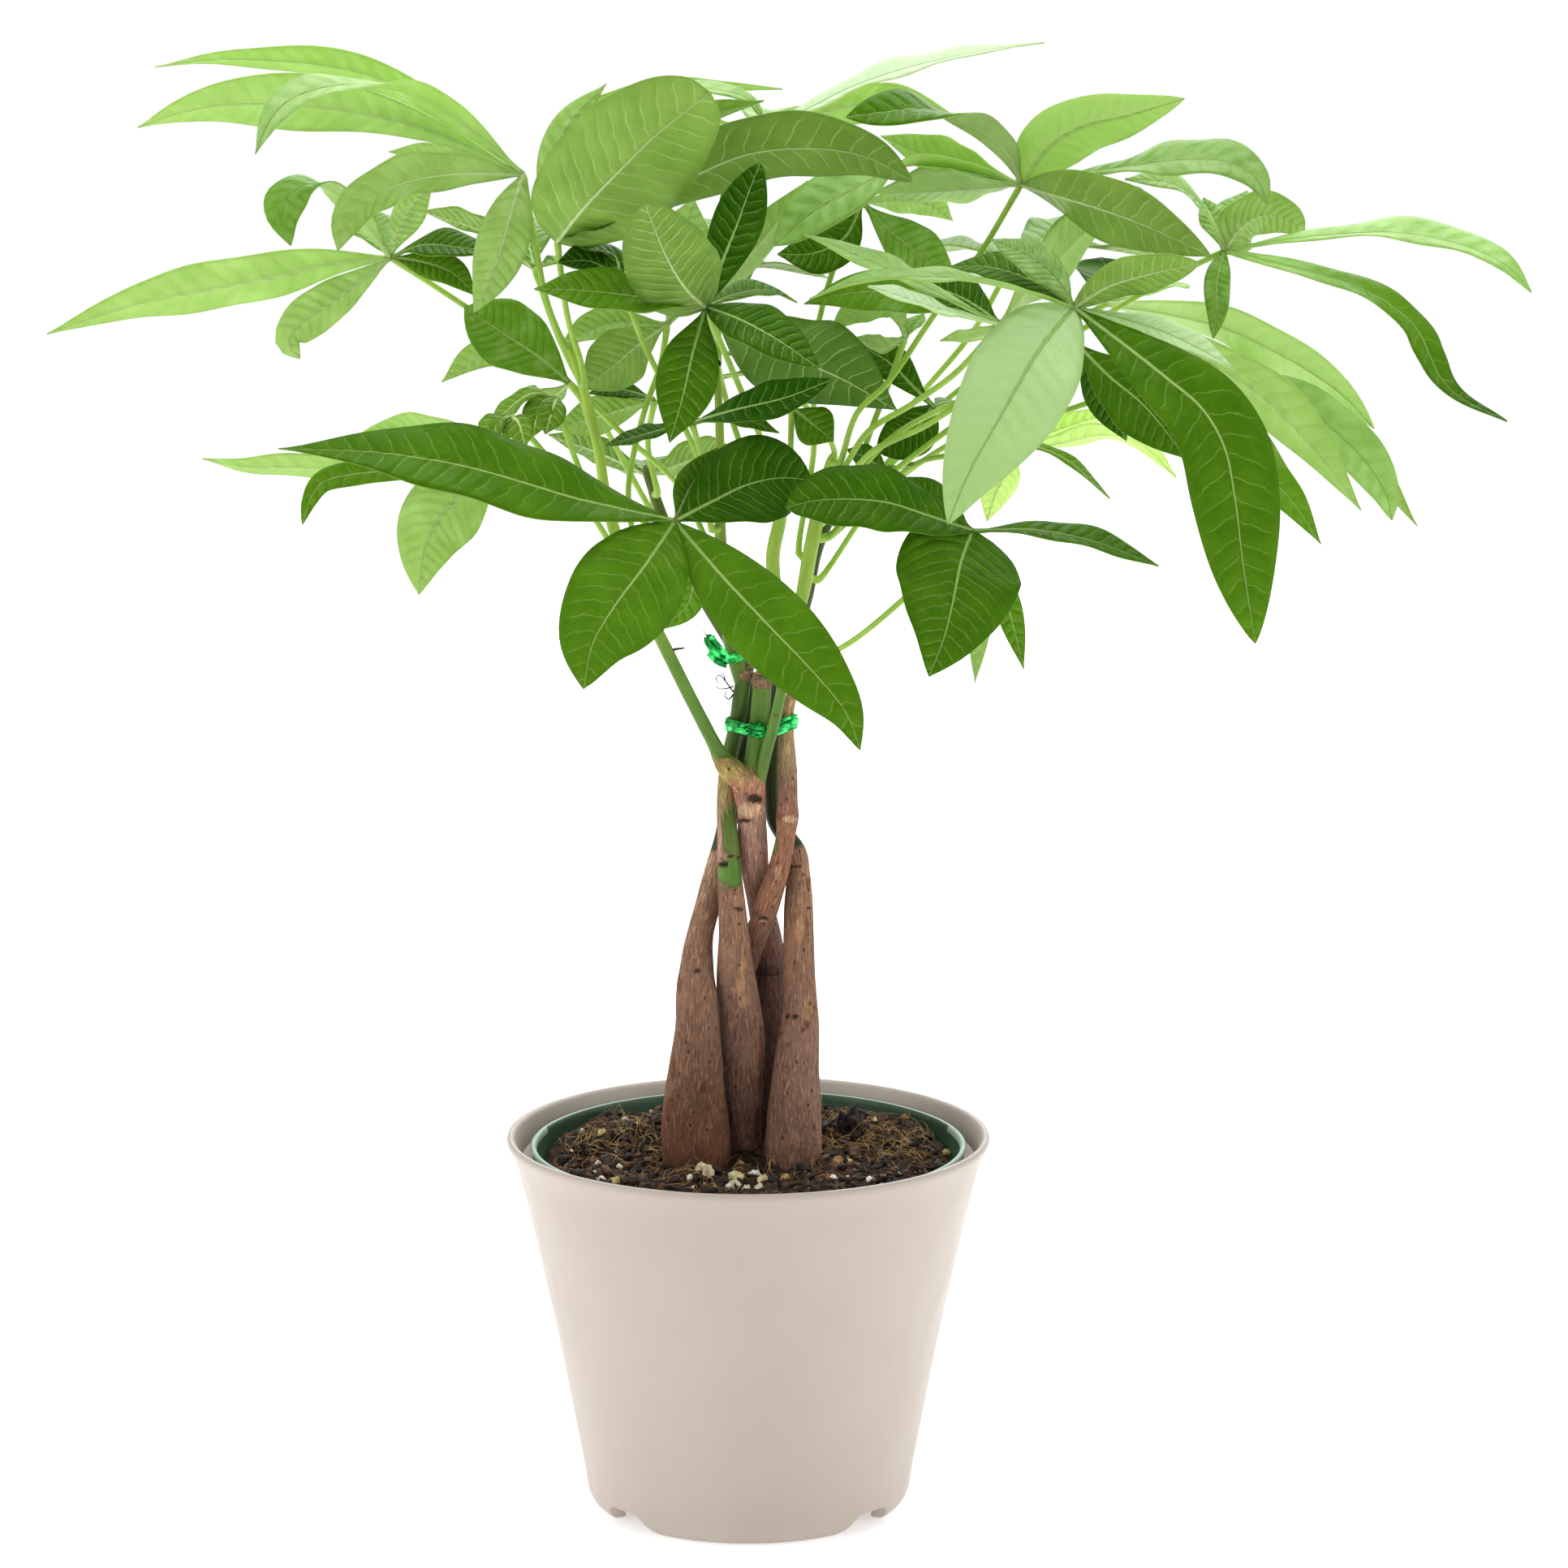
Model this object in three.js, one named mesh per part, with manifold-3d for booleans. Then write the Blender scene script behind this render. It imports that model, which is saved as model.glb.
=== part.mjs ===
// A potted money tree: five woody trunks tied in a bundle, their shoots and palmate leaves,
// in soil in a grower's pot, which stands in a taupe cover pot.
// Millimetres, +Z up. The origin is on the pot's axis, at the surface that the foot ring stands on.
import * as THREE from "three";
import { mergeVertices } from "three/addons/utils/BufferGeometryUtils.js";
import Module from "manifold-3d";

const wasm = await Module();
wasm.setup();

// Driving dimensions of the two pots and the soil.
const POT_SIDES = 32;
const COVER_WALL = 2.4;
const COVER_FLOOR_UNDERSIDE = 8;
const COVER_FLOOR = 2.6;
const FOOT_RING_WIDTH = 2.6;
const FOOT_BOSS = 12;
const COVER_OUTSIDE = [
  [44.4, 0],
  [46.9, 1],
  [48.9, 3],
  [50.1, 6],
  [51.0, 12],
  [58.4, 51.5],
  [63.9, 77.5],
  [70.0, 103.5],
  [71.9, 111],
  [73.7, 114],
  [74.4, 116],
  [73.9, 117.3],
  [72.6, 117.4],
];
const NOTCH_ANGLES = [-130, -50, 50, 130];
const NOTCH_HEIGHT = 6.2;
const NOTCH_HALF_TOP = 7;
const NOTCH_HALF_FOOT = 13;
const CLEARANCE = 0.3;
const NURSERY_WALL = 1.4;
const NURSERY_BOTTOM = COVER_FLOOR_UNDERSIDE + COVER_FLOOR + CLEARANCE;
const NURSERY_OUTSIDE = [
  [44.0, 0],
  [46.0, 1.5],
  [51.8, 31.7],
  [57.6, 61.8],
  [63.4, 92],
  [65.6, 93],
  [66.6, 102],
  [67.4, 103.5],
];
const SOIL_EDGE = 106;
const SOIL_CROWN = 109;

// Driving dimensions of the foliage.
const BLADE_THICKNESS = 0.7;
const ROOT_HALF_WIDTH = 0.75;
const TIP_HALF_WIDTH = 0.35;
const BLADE_STEPS = 50;
const WIDEST = 0.57;
const TAPER = 1.1;
const NARROW_BLADE = 17.5;
const BROAD_STATIONS = [0, 0.12, 0.36, 0.62, 0.86, 1];
const NARROW_STATIONS = [0, 0.16, 0.5, 0.82, 1];
const STALK_RADIUS = 0.9;
const STALK_SIDES = 4;
const TRUNK_SIDES = 10;
const SHOOT_SIDES = 7;

// The trunks and leaves are laid out as they are seen from EYE: a point is written [x, z, y],
// where x and z are the place at which its line of sight crosses the plane y = 0, and y is its own depth.
const EYE = new THREE.Vector3(11, -1900, 605);

const COLOURS = {
  cover: "#c9bdb2",
  nursery: "#2f5a42",
  soil: "#3b2a20",
  bark: "#8a6a56",
  tie: "#2fae5a",
  leaf: "#4f8f35",
  youngLeaf: "#a6cf5c",
};

// Each trunk is a list of limbs, and a limb is a route of [x, z, y, radius]. The first limb is the trunk.
const TRUNKS = {
  trunk_left: [
    [
      [-14.5, 78, 8, 8],
      [-15.5, 98, 7, 10],
      [-16, 112, 6, 10.6],
      [-16.6, 122, 4.5, 10.4],
      [-16.5, 131, 2.5, 9.3],
      [-16, 141, -0.5, 7.9],
      [-15.7, 150, -2, 7.1],
      [-15.9, 161, -1.5, 6.3],
      [-15.6, 170, 1, 5.1],
      [-14.6, 180, 4.5, 4.1],
      [-12.2, 190, 7.5, 3.9],
      [-9.6, 200, 9.5, 3.6],
      [-7.2, 210, 10.5, 3.2],
      [-5, 222, 12.5, 2.9],
      [-2, 235, 12.5, 2.6],
      [1, 247, 11, 2.4],
      [-1, 262, 15, 2.2],
      [-13, 284, 28, 2],
      [-24, 305, 38, 1.8],
      [-31, 325, 44, 1.5],
    ],
  ],
  trunk_front: [
    [
      [-1.8, 78, 18, 4.5],
      [-1.6, 98, 17, 5],
      [-1.5, 112, 15.5, 5.6],
      [-1.5, 122, 13, 5.4],
      [-1.4, 131, 10, 5.9],
      [-1.6, 141, 6.5, 6.5],
      [-2.2, 150, 4.5, 6.8],
      [-3, 160, 2, 6.5],
      [-4, 170, 0.5, 5.6],
      [-4.3, 180, 0, 4.7],
      [-5, 190, 0.5, 4.2],
      [-5.7, 200, 1, 3.7],
      [-6.1, 210, 1.5, 3.3],
      [-6.6, 219, 4, 2.9],
      [-6.4, 228, 6.8, 2.7],
      [-5.5, 236, 6.6, 2.5],
      [-3.5, 245, 4.2, 2.4],
      [-2, 255, 3, 2.5],
      [-0.7, 263, 2.2, 2.4],
    ],
    [
      [-1.4, 257, 2.8, 2.2],
      [-3.2, 264, 2.6, 2.5],
      [-5, 271, 3, 2.4],
      [-7.2, 285, 2, 2],
      [-8.2, 302, 0, 1.8],
      [-8.4, 318, -2, 1.6],
      [-8.4, 336, -3, 1.3],
      [-9, 350, -2, 1.1],
      [-9.4, 357, -1, 1],
    ],
  ],
  trunk_middle: [
    [
      [9.5, 78, 27, 5],
      [9.3, 98, 26.5, 6],
      [9, 112, 26, 6.4],
      [8.2, 130, 24, 6],
      [7.2, 148, 20.5, 5.5],
      [7, 160, 19.4, 5.3],
      [6.6, 170, 18.7, 5],
      [5.6, 180, 17.6, 4.5],
      [3.9, 190, 12.5, 4.1],
      [2.3, 200, 8.3, 4.3],
      [1.5, 210, 5.2, 4.4],
      [1.2, 219, 2.2, 4.4],
      [0.6, 225, 0, 4.9],
      [0.2, 229.5, -0.8, 5.2],
      [1, 233.5, -0.8, 3.6],
    ],
    [
      [1.3, 230, -0.8, 3],
      [2.4, 238, -0.6, 3],
      [3.4, 246, -0.6, 3],
      [4.1, 254, -0.6, 2.95],
      [4.4, 260.3, -0.6, 2.9],
    ],
    [
      [-0.5, 227, -1.2, 3.4],
      [-4.2, 230.6, -2, 3.9],
      [-7.7, 234.6, -3, 2.9],
      [-10.1, 239.2, -4.2, 2.2],
      [-13.8, 246.5, -6, 2.05],
      [-19.3, 257.5, -9, 2],
      [-25.4, 270, -11, 1.95],
      [-34, 288, -13, 1.75],
      [-39.6, 303, -14, 1.9],
      [-42.6, 314, -14, 1.65],
      [-45, 330, -13, 1.55],
      [-48.4, 345, -12, 1.45],
      [-52, 357, -12, 1.35],
      [-54.5, 363.5, -12, 1.2],
    ],
    [
      [3.6, 228, -2.4, 1.8],
      [5.4, 236, -5.2, 1.8],
      [7.8, 245, -7.2, 1.7],
      [10.4, 257, -9, 1.65],
      [12.6, 270, -10, 1.65],
      [15, 279, -11, 1.75],
      [16.9, 287, -12, 2.1],
      [18.8, 298, -13, 2.2],
      [20.6, 307, -13.5, 2.2],
      [23, 318, -14, 1.9],
      [26, 329, -14, 1.5],
    ],
  ],
  trunk_crossing: [
    [
      [-12, 78, 28, 5],
      [-11.5, 98, 28, 5.6],
      [-11, 112, 28, 5.8],
      [-9.6, 131, 25, 5.3],
      [-7.5, 150, 20, 4.9],
      [-4.6, 161, 16.5, 4.5],
      [-1, 171, 12.2, 4.1],
      [2.4, 180, 7.8, 3.8],
      [4.4, 185, 5, 3.8],
      [5.9, 190, 2.8, 3.9],
      [9.2, 200, 1.5, 3.4],
      [10.6, 206, 1, 3.1],
      [11.6, 212, 0.8, 3],
      [12, 217, 1, 3.5],
      [12, 222, 1.4, 3.2],
      [12, 231, 2, 3],
      [11.6, 241, 2.8, 2.5],
      [12.2, 250, 3, 1.9],
      [13.8, 257, 3, 1.6],
      [12.6, 270, 3, 1.7],
      [8.8, 285, 2, 2],
      [7.6, 297, 1, 2.1],
      [9.8, 309, 0, 2],
      [10.4, 320, -4, 1.6],
      [8.6, 331, -8, 1.2],
    ],
  ],
  trunk_right: [
    [
      [12.5, 78, 9, 7],
      [13.3, 98, 8, 8.6],
      [13.7, 110, 7, 8.9],
      [14, 121, 6, 8.5],
      [14.5, 131, 5, 7.7],
      [15, 141, 4.5, 6.9],
      [15.6, 150, 4, 6],
      [15.8, 160, 3.5, 5.4],
      [15.6, 170, 3, 5],
      [15.5, 180, 3.5, 4.7],
      [15.5, 190, 5, 4.4],
      [15.4, 198, 7.8, 3.8],
      [14.8, 205.5, 10, 3.2],
      [11.4, 211, 12.4, 3],
      [8.6, 216, 13, 2.9],
      [7.7, 223, 13, 2.7],
      [7.6, 235, 12, 2.6],
      [8.4, 247, 10.6, 2.4],
      [10.4, 262, 13, 2.4],
      [17.2, 284, 20, 2.4],
      [20.4, 299, 27, 2.3],
      [26, 312, 34, 1.9],
      [33, 324, 40, 1.5],
    ],
  ],
};

// The foil tie goes round the stems at this height, and tips up to the right.
const TIE = { seenAt: 246, level: 245, tilt: 0.05, bandHeight: 2.8, thickness: 0.6, gap: 1 };
const TIE_END = { height: 266.5, radius: 2.95, thickness: 0.7, bandHeight: 3.2 };

// Each leaf: the limb that it grows from and at what height, the stalk's route to its hub, and its leaflets.
// A leaflet is [width, face, twist, route, widest, taper]. Face is how far its upper side is turned towards
// the front, in degrees: 0 is level, 90 faces the front and -90 shows its underside there. Twist is added by
// the tip. Widest, where given, is the share of the length at which it is widest, and a taper under 1 makes
// its ends fuller.
const LEAVES = {
  leaf_upper_left: {
    grows: ["trunk_middle", 2, 362],
    stalk: [[-60, 374, -16], [-63.5, 392, -20], [-67, 413, -18]],
    leaflets: [
      [
        20, -56, 0,
        [
          [-84, 421.8, -13], [-100, 427.8, -14], [-117, 432, -16], [-136, 434.2, -18],
          [-156, 434.2, -20], [-170, 431.4, -21], [-182, 427, -22],
        ],
        0.6,
      ],
      [
        13, -50, 0,
        [
          [-84, 426, -4], [-98, 436, 0], [-112, 442.8, 3], [-128, 446.2, 5], [-145, 447.4, 7],
          [-160, 447.4, 8.5], [-176.5, 445, 10],
        ],
        0.5, 1.3,
      ],
      [
        19, -75, 130,
        [
          [-80, 424.5, -19], [-92, 433.5, -22], [-104, 438.8, -27], [-116, 440.2, -32],
          [-128, 438.8, -37], [-137, 435, -40], [-142.5, 429, -42], [-147, 419, -44],
        ],
      ],
      [11, -60, 0, [[-84, 416.8, -6], [-96, 418.8, 4], [-107, 419.8, 10]]],
      [
        21, -58, 15,
        [
          [-88, 413.6, -24], [-103, 411.3, -32], [-114, 405.8, -37], [-120.2, 398.5, -40],
          [-122.8, 390, -42],
        ],
        0.55, 0.9,
      ],
      [
        15.5, -88, 0,
        [
          [-70.3, 403, -24], [-73.5, 392, -24], [-77.5, 381, -23], [-82, 371.5, -22],
        ],
        0.5, 0.9,
      ],
    ],
  },
  leaf_upper_middle: {
    grows: ["trunk_middle", 2, 350],
    stalk: [[-50, 356, -20], [-54, 370, -23], [-57, 393, -24]],
    leaflets: [
      [38, -86, 0, [[-50, 402, -40], [-39.5, 413, -52], [-27, 425, -66], [-11, 437.5, -76]], 0.5, 0.42],
      [
        25, -60, 0,
        [
          [-38, 402.5, -20], [-20, 411, -17], [0, 419.5, -16], [20, 421.3, -18], [36, 418.5, -21],
          [49.5, 411, -24],
        ],
        0.62, 0.8,
      ],
      [18, -60, 90, [[-48, 423, 0], [-32, 434.5, 8], [-12, 438.6, 12], [1, 435, 12], [5.5, 427.5, 12]]],
      [
        16, -30, 0,
        [
          [-53, 427, 12], [-42, 434.5, 20], [-26, 438.3, 26], [-8, 438.8, 30], [10.5, 438.5, 34],
        ],
      ],
      [16, -80, 0, [[-60, 414, -4], [-57, 428, 4], [-46, 440, 12]]],
      [14, 20, 0, [[-46, 396.8, -34], [-34, 401.5, -42]]],
      [18, -40, 0, [[-35, 414, -6], [-14, 430, -2], [5, 435, 0]]],
    ],
  },
  leaf_crown: {
    grows: ["trunk_front", 1, 356],
    stalk: [[-8.5, 372, 12], [-5, 395, 32], [2, 426, 55]],
    leaflets: [
      [
        18, 13, 0,
        [
          [16, 431.5, 51], [30, 438.8, 48], [45, 444.3, 44], [60, 448, 40], [75, 450.6, 36],
          [88.5, 452.2, 32],
        ],
        0.48, 1.2,
      ],
      [15.5, -62, 0, [[18, 430.5, 60], [30, 433.5, 64], [45, 434, 68], [62, 430.5, 72]]],
      [14, 78, 0, [[-2, 405, 57], [-1, 379, 64]], 0.57, 0.8],
      [22, -20, 0, [[-14, 430, 72], [-32, 430, 96], [-42, 424, 118]]],
      [24, 0, 0, [[6, 432, 88], [10, 431, 118], [12, 420, 146]]],
    ],
  },
  leaf_upper_right: {
    grows: ["trunk_middle", 3, 326],
    stalk: [[33, 341, -18], [42, 350, -15], [57, 372, -6], [69, 388, 0], [82, 410, 5]],
    leaflets: [
      [
        19.5, -76, 0,
        [
          [90.5, 421.5, 0], [100, 427.3, -4], [114, 430.8, -9], [130.5, 435.6, -14],
        ],
        0.36, 0.8,
      ],
      [
        21, -14, 62,
        [
          [98, 413, -8], [116, 416, -19], [132, 417.8, -27], [145, 416.6, -33], [152.6, 411.4, -36],
          [155.6, 404, -37],
        ],
        0.6, 0.9,
      ],
      [
        20.5, -72, 0,
        [
          [95, 406.2, -16], [107, 402.5, -26], [119, 398, -34], [129, 393.5, -40], [139, 388.5, -44],
        ],
        0.52, 0.85,
      ],
      [24, -30, 0, [[60, 409, 17], [38, 407.5, 20]]],
      [17, -56, 0, [[68, 414.5, 20], [54, 419, 26], [40, 424.5, 30]]],
      [
        20, -62, 125,
        [
          [77.5, 420, -3], [70, 426.5, -8], [61, 431, -14], [51, 433, -19], [41, 431.8, -23],
          [29.5, 430, -27],
        ],
        0.6, 0.85,
      ],
      [
        24, -50, 110,
        [
          [66, 414.5, 12], [48, 416.5, 14], [33, 409.5, 12], [20, 402, 9], [8, 391.5, 6],
        ],
        0.6, 0.8,
      ],
      [20, 20, 0, [[98, 412, 34], [112, 408, 64], [122, 398, 86]]],
    ],
  },
  leaf_front_middle: {
    grows: ["trunk_crossing", 0, 326],
    stalk: [[1, 341, -24], [-5, 355, -36], [-12.5, 373, -50]],
    leaflets: [
      [27, -88, 0, [[-18.5, 379, -62], [-24.5, 389, -76], [-30.5, 404, -90]], 0.45, 0.55],
      [15, 78, 0, [[-7, 388, -46], [-3, 398, -43], [0.6, 408, -40], [4, 416.5, -38]], 0.58, 0.75],
      [20, 32, 0, [[-32, 376.5, -60], [-50, 378.5, -66], [-64, 378.5, -68]]],
      [18, 80, 0, [[-16.5, 359, -64], [-19.5, 346, -69], [-23.5, 332, -70]]],
      [17, 42, 0, [[-2, 369.5, -62], [9, 363.5, -70], [21.5, 354.5, -76]], 0.5, 0.9],
      [30, -72, 0, [[8, 360.5, -26], [27, 352.6, -7.2], [45, 342, 2.6]]],
      [12, 16, 0, [[-4, 377, -41], [6, 378.5, -34], [15, 374.5, -30]]],
    ],
  },
  leaf_far_right: {
    grows: ["trunk_middle", 3, 316],
    stalk: [[44, 334, -6], [72, 349, 6], [100, 366, 16], [125, 381, 16], [143, 390, 10]],
    leaflets: [
      [
        22, 12, 0,
        [
          [163, 393.6, 8], [178, 395.3, 7], [193, 396, 6], [207, 394.2, 5], [219, 390.5, 3],
          [228, 385.5, 1], [235.3, 377.5, 0],
        ],
        0.62, 0.9,
      ],
      [
        12, 24, -10,
        [
          [158, 386.4, 2], [172, 383, -1], [185, 378.6, -4], [194.5, 373, -7], [201.5, 366.4, -9],
          [205.3, 358.5, -11], [209.2, 351, -13], [214.5, 346, -14.5], [229, 338.5, -16],
        ],
        0.5, 0.7,
      ],
      [18, -62, 0, [[148, 397.5, 14], [154.5, 401, 18], [161, 399.5, 20], [167, 396, 22]], 0.4, 0.6],
      [14, 25, 0, [[138, 401, 4], [128, 410, -2], [113, 411.5, -8]]],
      [10, 20, 0, [[140, 399, 18], [136.5, 406, 24]]],
      [8, 78, 0, [[141, 381, -1], [141, 372, -4], [140, 363.5, -6]], 0.5, 0.8],
      [18, 10, 0, [[146.5, 399, 34], [149.5, 408, 54]]],
    ],
  },
  leaf_front_right: {
    grows: ["trunk_middle", 3, 311],
    stalk: [[36, 328, -26], [55, 338, -38], [80, 356, -52], [98, 373, -62]],
    leaflets: [
      [31, 80, 0, [[88, 360.5, -78], [76.3, 340, -92], [66.5, 322, -100], [60.5, 307, -103]], 0.42, 0.85],
      [
        26, 66, 0,
        [
          [113, 362, -76], [126.5, 351.5, -88], [137, 342.5, -93], [143.8, 331, -97],
          [147.3, 315, -100], [150, 295, -101], [154, 270.5, -98],
        ],
        0.58, 0.8,
      ],
      [15, 14, 0, [[112, 369.8, -66], [126, 365.5, -72], [138, 359.5, -75], [147, 354, -76]]],
      [
        20, -40, 0,
        [
          [120, 366, -50], [140, 356, -44], [155, 346.5, -41], [170, 331.5, -39],
          [185.5, 311.3, -38],
        ],
      ],
      [15, 26, 0, [[92, 382, -58], [85, 388, -56], [73, 393.5, -52]]],
      [14, -62, 0, [[108, 379.5, -64], [119, 383, -70], [135.5, 386.5, -78]], 0.5, 0.7],
      [
        16, 4, 0,
        [
          [85, 377.5, -71], [68, 381.5, -77], [50, 382.5, -81], [33, 381, -83], [18.5, 375.5, -84],
        ],
      ],
      [15, 24, 0, [[85, 381.5, -54], [72, 385.5, -49], [60, 385, -46]]],
      [13, 26, 0, [[115, 365, -54], [129, 358, -46], [140, 350.5, -42]]],
    ],
  },
  leaf_inner_right: {
    grows: ["trunk_middle", 3, 321],
    stalk: [[36, 335, -22], [50, 344, -28], [63, 353.5, -33], [76, 368, -38]],
    leaflets: [
      [16, 10, 0, [[60, 376, -42], [44, 384, -43], [30, 390, -41], [17, 395, -38]]],
      [18, 16, 0, [[62, 371.5, -52], [48, 376, -58], [36, 379.5, -60]]],
      [14, 42, 0, [[68, 374, -33], [60, 378, -28], [50, 379.5, -25]]],
      [24, -58, 0, [[84, 379, -22], [93, 388, -8], [102, 397, 1], [112, 402, 6]]],
      [8, -42, 0, [[68, 364.5, -24], [58, 363, -14]]],
      [15, 60, 0, [[62, 375, -26], [44, 378, -20], [28, 377, -16], [17, 374, -14]]],
    ],
  },
  leaf_far_left: {
    grows: ["trunk_front", 1, 300],
    stalk: [[-20, 318, 5], [-38, 335, 8], [-60, 356, 9], [-82, 371.5, 6], [-107, 388, 0]],
    leaflets: [
      [
        18.5, -58, 0,
        [
          [-125, 386.3, 2], [-143, 382.5, 4], [-163, 378.6, 5], [-181, 375, 6], [-195, 370.6, 6],
          [-210.5, 365, 6],
        ],
        0.48,
      ],
      [
        13.5, -80, 0,
        [
          [-117, 380.5, -5], [-126.5, 373.8, -9], [-134.5, 367.8, -11.5], [-138, 362.5, -12.5],
          [-134.5, 357.5, -13],
        ],
        0.6, 0.8,
      ],
      [
        17, -50, 85,
        [
          [-114, 397.5, -6], [-120.5, 405.5, -9], [-128.5, 410.5, -13], [-136.5, 407.5, -18],
          [-139, 400.5, -22], [-136.8, 391.5, -24],
        ],
        0.6, 0.9,
      ],
      [10, -80, 0, [[-103.5, 397, 8], [-99.5, 404, 14], [-94, 411, 20]]],
      [15, 24, 0, [[-97, 392, -6], [-86, 391.3, -9], [-76, 389.5, -11]]],
      [11, 50, 0, [[-95, 386, -9], [-88, 383, -12], [-81.5, 376.5, -14]]],
      [16, 10, 0, [[-111, 396, 24], [-116, 404, 46]]],
    ],
  },
  leaf_front_low: {
    grows: ["trunk_front", 1, 284],
    stalk: [[-10.5, 291, -18], [-16, 300, -46], [-22, 308, -70]],
    leaflets: [
      [
        29, 36, 0,
        [
          [-40, 312.5, -78], [-52, 315.5, -82], [-64, 319.3, -85], [-76, 323, -88], [-88, 326, -90],
          [-100, 328, -91], [-112, 329.4, -92], [-141.5, 330.2, -93],
        ],
        0.47, 1.25,
      ],
      [
        31.5, 80, 0,
        [
          [-31.5, 294, -86], [-40, 282.5, -93], [-47, 270.5, -98], [-50, 256.5, -102],
        ],
        0.5, 0.85,
      ],
      [
        24, 76, 0,
        [
          [-7.5, 291, -84], [6.5, 276, -93], [21, 260.5, -98], [30, 249, -99], [34.2, 237.5, -99],
        ],
        0.5, 0.9,
      ],
      [28, 64, 0, [[-11, 314, -61], [0, 319.5, -54], [10, 321.5, -49], [19.5, 320.5, -44]], 0.62, 0.75],
      [10, 68, 0, [[-17, 319, -56], [-9, 330.5, -48]]],
      [9, 80, 0, [[-16.5, 292, -66], [-18.5, 282, -64], [-27, 274.5, -62]]],
    ],
  },
  leaf_inner_left: {
    grows: ["trunk_middle", 2, 338],
    stalk: [[-50, 345, -4], [-53.5, 350, -2]],
    leaflets: [
      [22, 60, 0, [[-62, 357.5, -2], [-72, 364.5, 0], [-85, 373, 2.6]], 0.6, 0.8],
      [11, -60, 0, [[-68, 357, 8], [-80, 358.7, 13], [-92, 350.5, 17]]],
      [9, -50, 0, [[-60, 346, 6], [-69, 348, 13]]],
    ],
  },
  leaf_low_right: {
    grows: ["trunk_middle", 3, 266],
    stalk: [[28, 269, -26], [47, 284, -42], [68, 305, -52]],
    leaflets: [
      [37, 85, 0, [[64.5, 295, -66], [62.3, 283.5, -75], [59.5, 272, -82], [55, 260.3, -84]], 0.37, 0.9],
      [14.5, 18, 0, [[85, 305.7, -56], [96, 304.3, -58], [107, 301.5, -59], [124.5, 294.3, -60]]],
      [
        24, 42, 0,
        [
          [54, 310.3, -59], [42, 314.2, -62], [30, 315.2, -64], [20, 314.5, -65], [11.5, 312.3, -66],
        ],
        0.58, 0.6,
      ],
      [14, 46, 0, [[57, 313, -44], [44, 321.5, -36]]],
      [8, 70, 0, [[74, 297, -48], [78, 285, -47], [81.3, 273, -46], [83.8, 262.5, -46]]],
      [7, -84, 0, [[71, 287, -42], [70, 272, -38], [69, 258.3, -36]], 0.6],
    ],
  },
  leaf_shaded_right: {
    grows: ["trunk_middle", 3, 303],
    stalk: [[38, 318, -8], [58, 334, -10], [80, 350, -20], [98, 363, -28]],
    leaflets: [
      [22, 60, 0, [[108, 353, -31], [120, 343, -35], [132.5, 327, -38]]],
      [12, 70, 0, [[107, 347, -22], [114.3, 332.5, -20]]],
    ],
  },
  leaf_rear_right: {
    grows: ["trunk_right", 0, 318],
    stalk: [[60, 345, 48], [85, 362, 44], [108, 374, 38]],
    leaflets: [
      [
        16, -52, 0,
        [
          [128, 371, 36], [144, 367, 32], [157, 361, 29], [168.5, 354.5, 26], [179.5, 346.5, 24],
          [189, 336.3, 22],
        ],
        0.5, 0.8,
      ],
      [20, 20, 0, [[120, 380, 66], [132, 380, 92]]],
      [20, 0, 0, [[108, 384, 70], [106, 388, 98]]],
    ],
  },
  leaf_low_far_right: {
    grows: ["trunk_right", 0, 308],
    stalk: [[62, 332, 26], [95, 341.5, 16], [116, 349, 10], [132, 354, 8]],
    leaflets: [
      [
        17, 50, 0,
        [
          [148, 351, 6], [162, 346.5, 4], [175, 337.5, 2], [186, 327, -2], [192.5, 317, -4],
          [194.8, 308.3, -6],
        ],
        0.62, 0.8,
      ],
      [10, -50, 0, [[160, 346, 14], [186, 328, 18], [202.5, 306.5, 20]]],
      [12, 70, 0, [[148, 338, -4], [158, 321.5, -9], [165, 313.5, -12], [173.5, 301, -14]]],
      [16, 20, 0, [[146, 352, 34], [158, 340, 58]]],
    ],
  },
  leaf_young_right: {
    grows: ["trunk_right", 0, 303],
    stalk: [[50, 325, 16], [60, 328, 8], [72, 329, 4]],
    leaflets: [
      [12, -42, 0, [[88, 334.5, 4], [101, 339, 3], [112, 341.5, 2]]],
      [12, -36, 0, [[93, 332, -3], [107, 335, -6], [118, 332.5, -8], [129.5, 321.5, -9]]],
      [11, -84, 0, [[77, 323, -2], [74.5, 316, -5], [72.3, 308, -8]], 0.45, 0.9],
      [8, 8, 0, [[86, 331, -10], [97, 326.5, -14], [109.5, 315, -17]]],
    ],
  },
  leaf_low_left: {
    grows: ["trunk_left", 0, 305],
    stalk: [[-45, 318, 32], [-64, 324, 24], [-78, 325, 18]],
    leaflets: [
      [20, -56, 0, [[-88, 331.5, 22], [-104, 333.5, 27], [-121, 332, 32]], 0.45],
      [
        12, -50, 0,
        [
          [-100, 324.5, 20], [-120, 324.2, 21], [-138, 325, 22], [-152, 325, 22],
          [-164.5, 327.2, 22],
        ],
        0.6,
      ],
      [
        8, 60, 0,
        [
          [-100, 323.5, 10], [-118, 322.6, 6], [-128.6, 319.8, 4], [-132.7, 313.5, 3],
          [-134.6, 307, 2],
        ],
        0.65, 0.8,
      ],
      [24, -85, 0, [[-88, 315.5, 10], [-95.5, 305.5, 6], [-98.5, 296, 3], [-99.6, 285.5, 0]], 0.42, 0.9],
      [20, 10, 0, [[-88, 330, 44], [-96, 324, 70]]],
    ],
  },
  leaf_rear_low: {
    grows: ["trunk_left", 0, 296],
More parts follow.
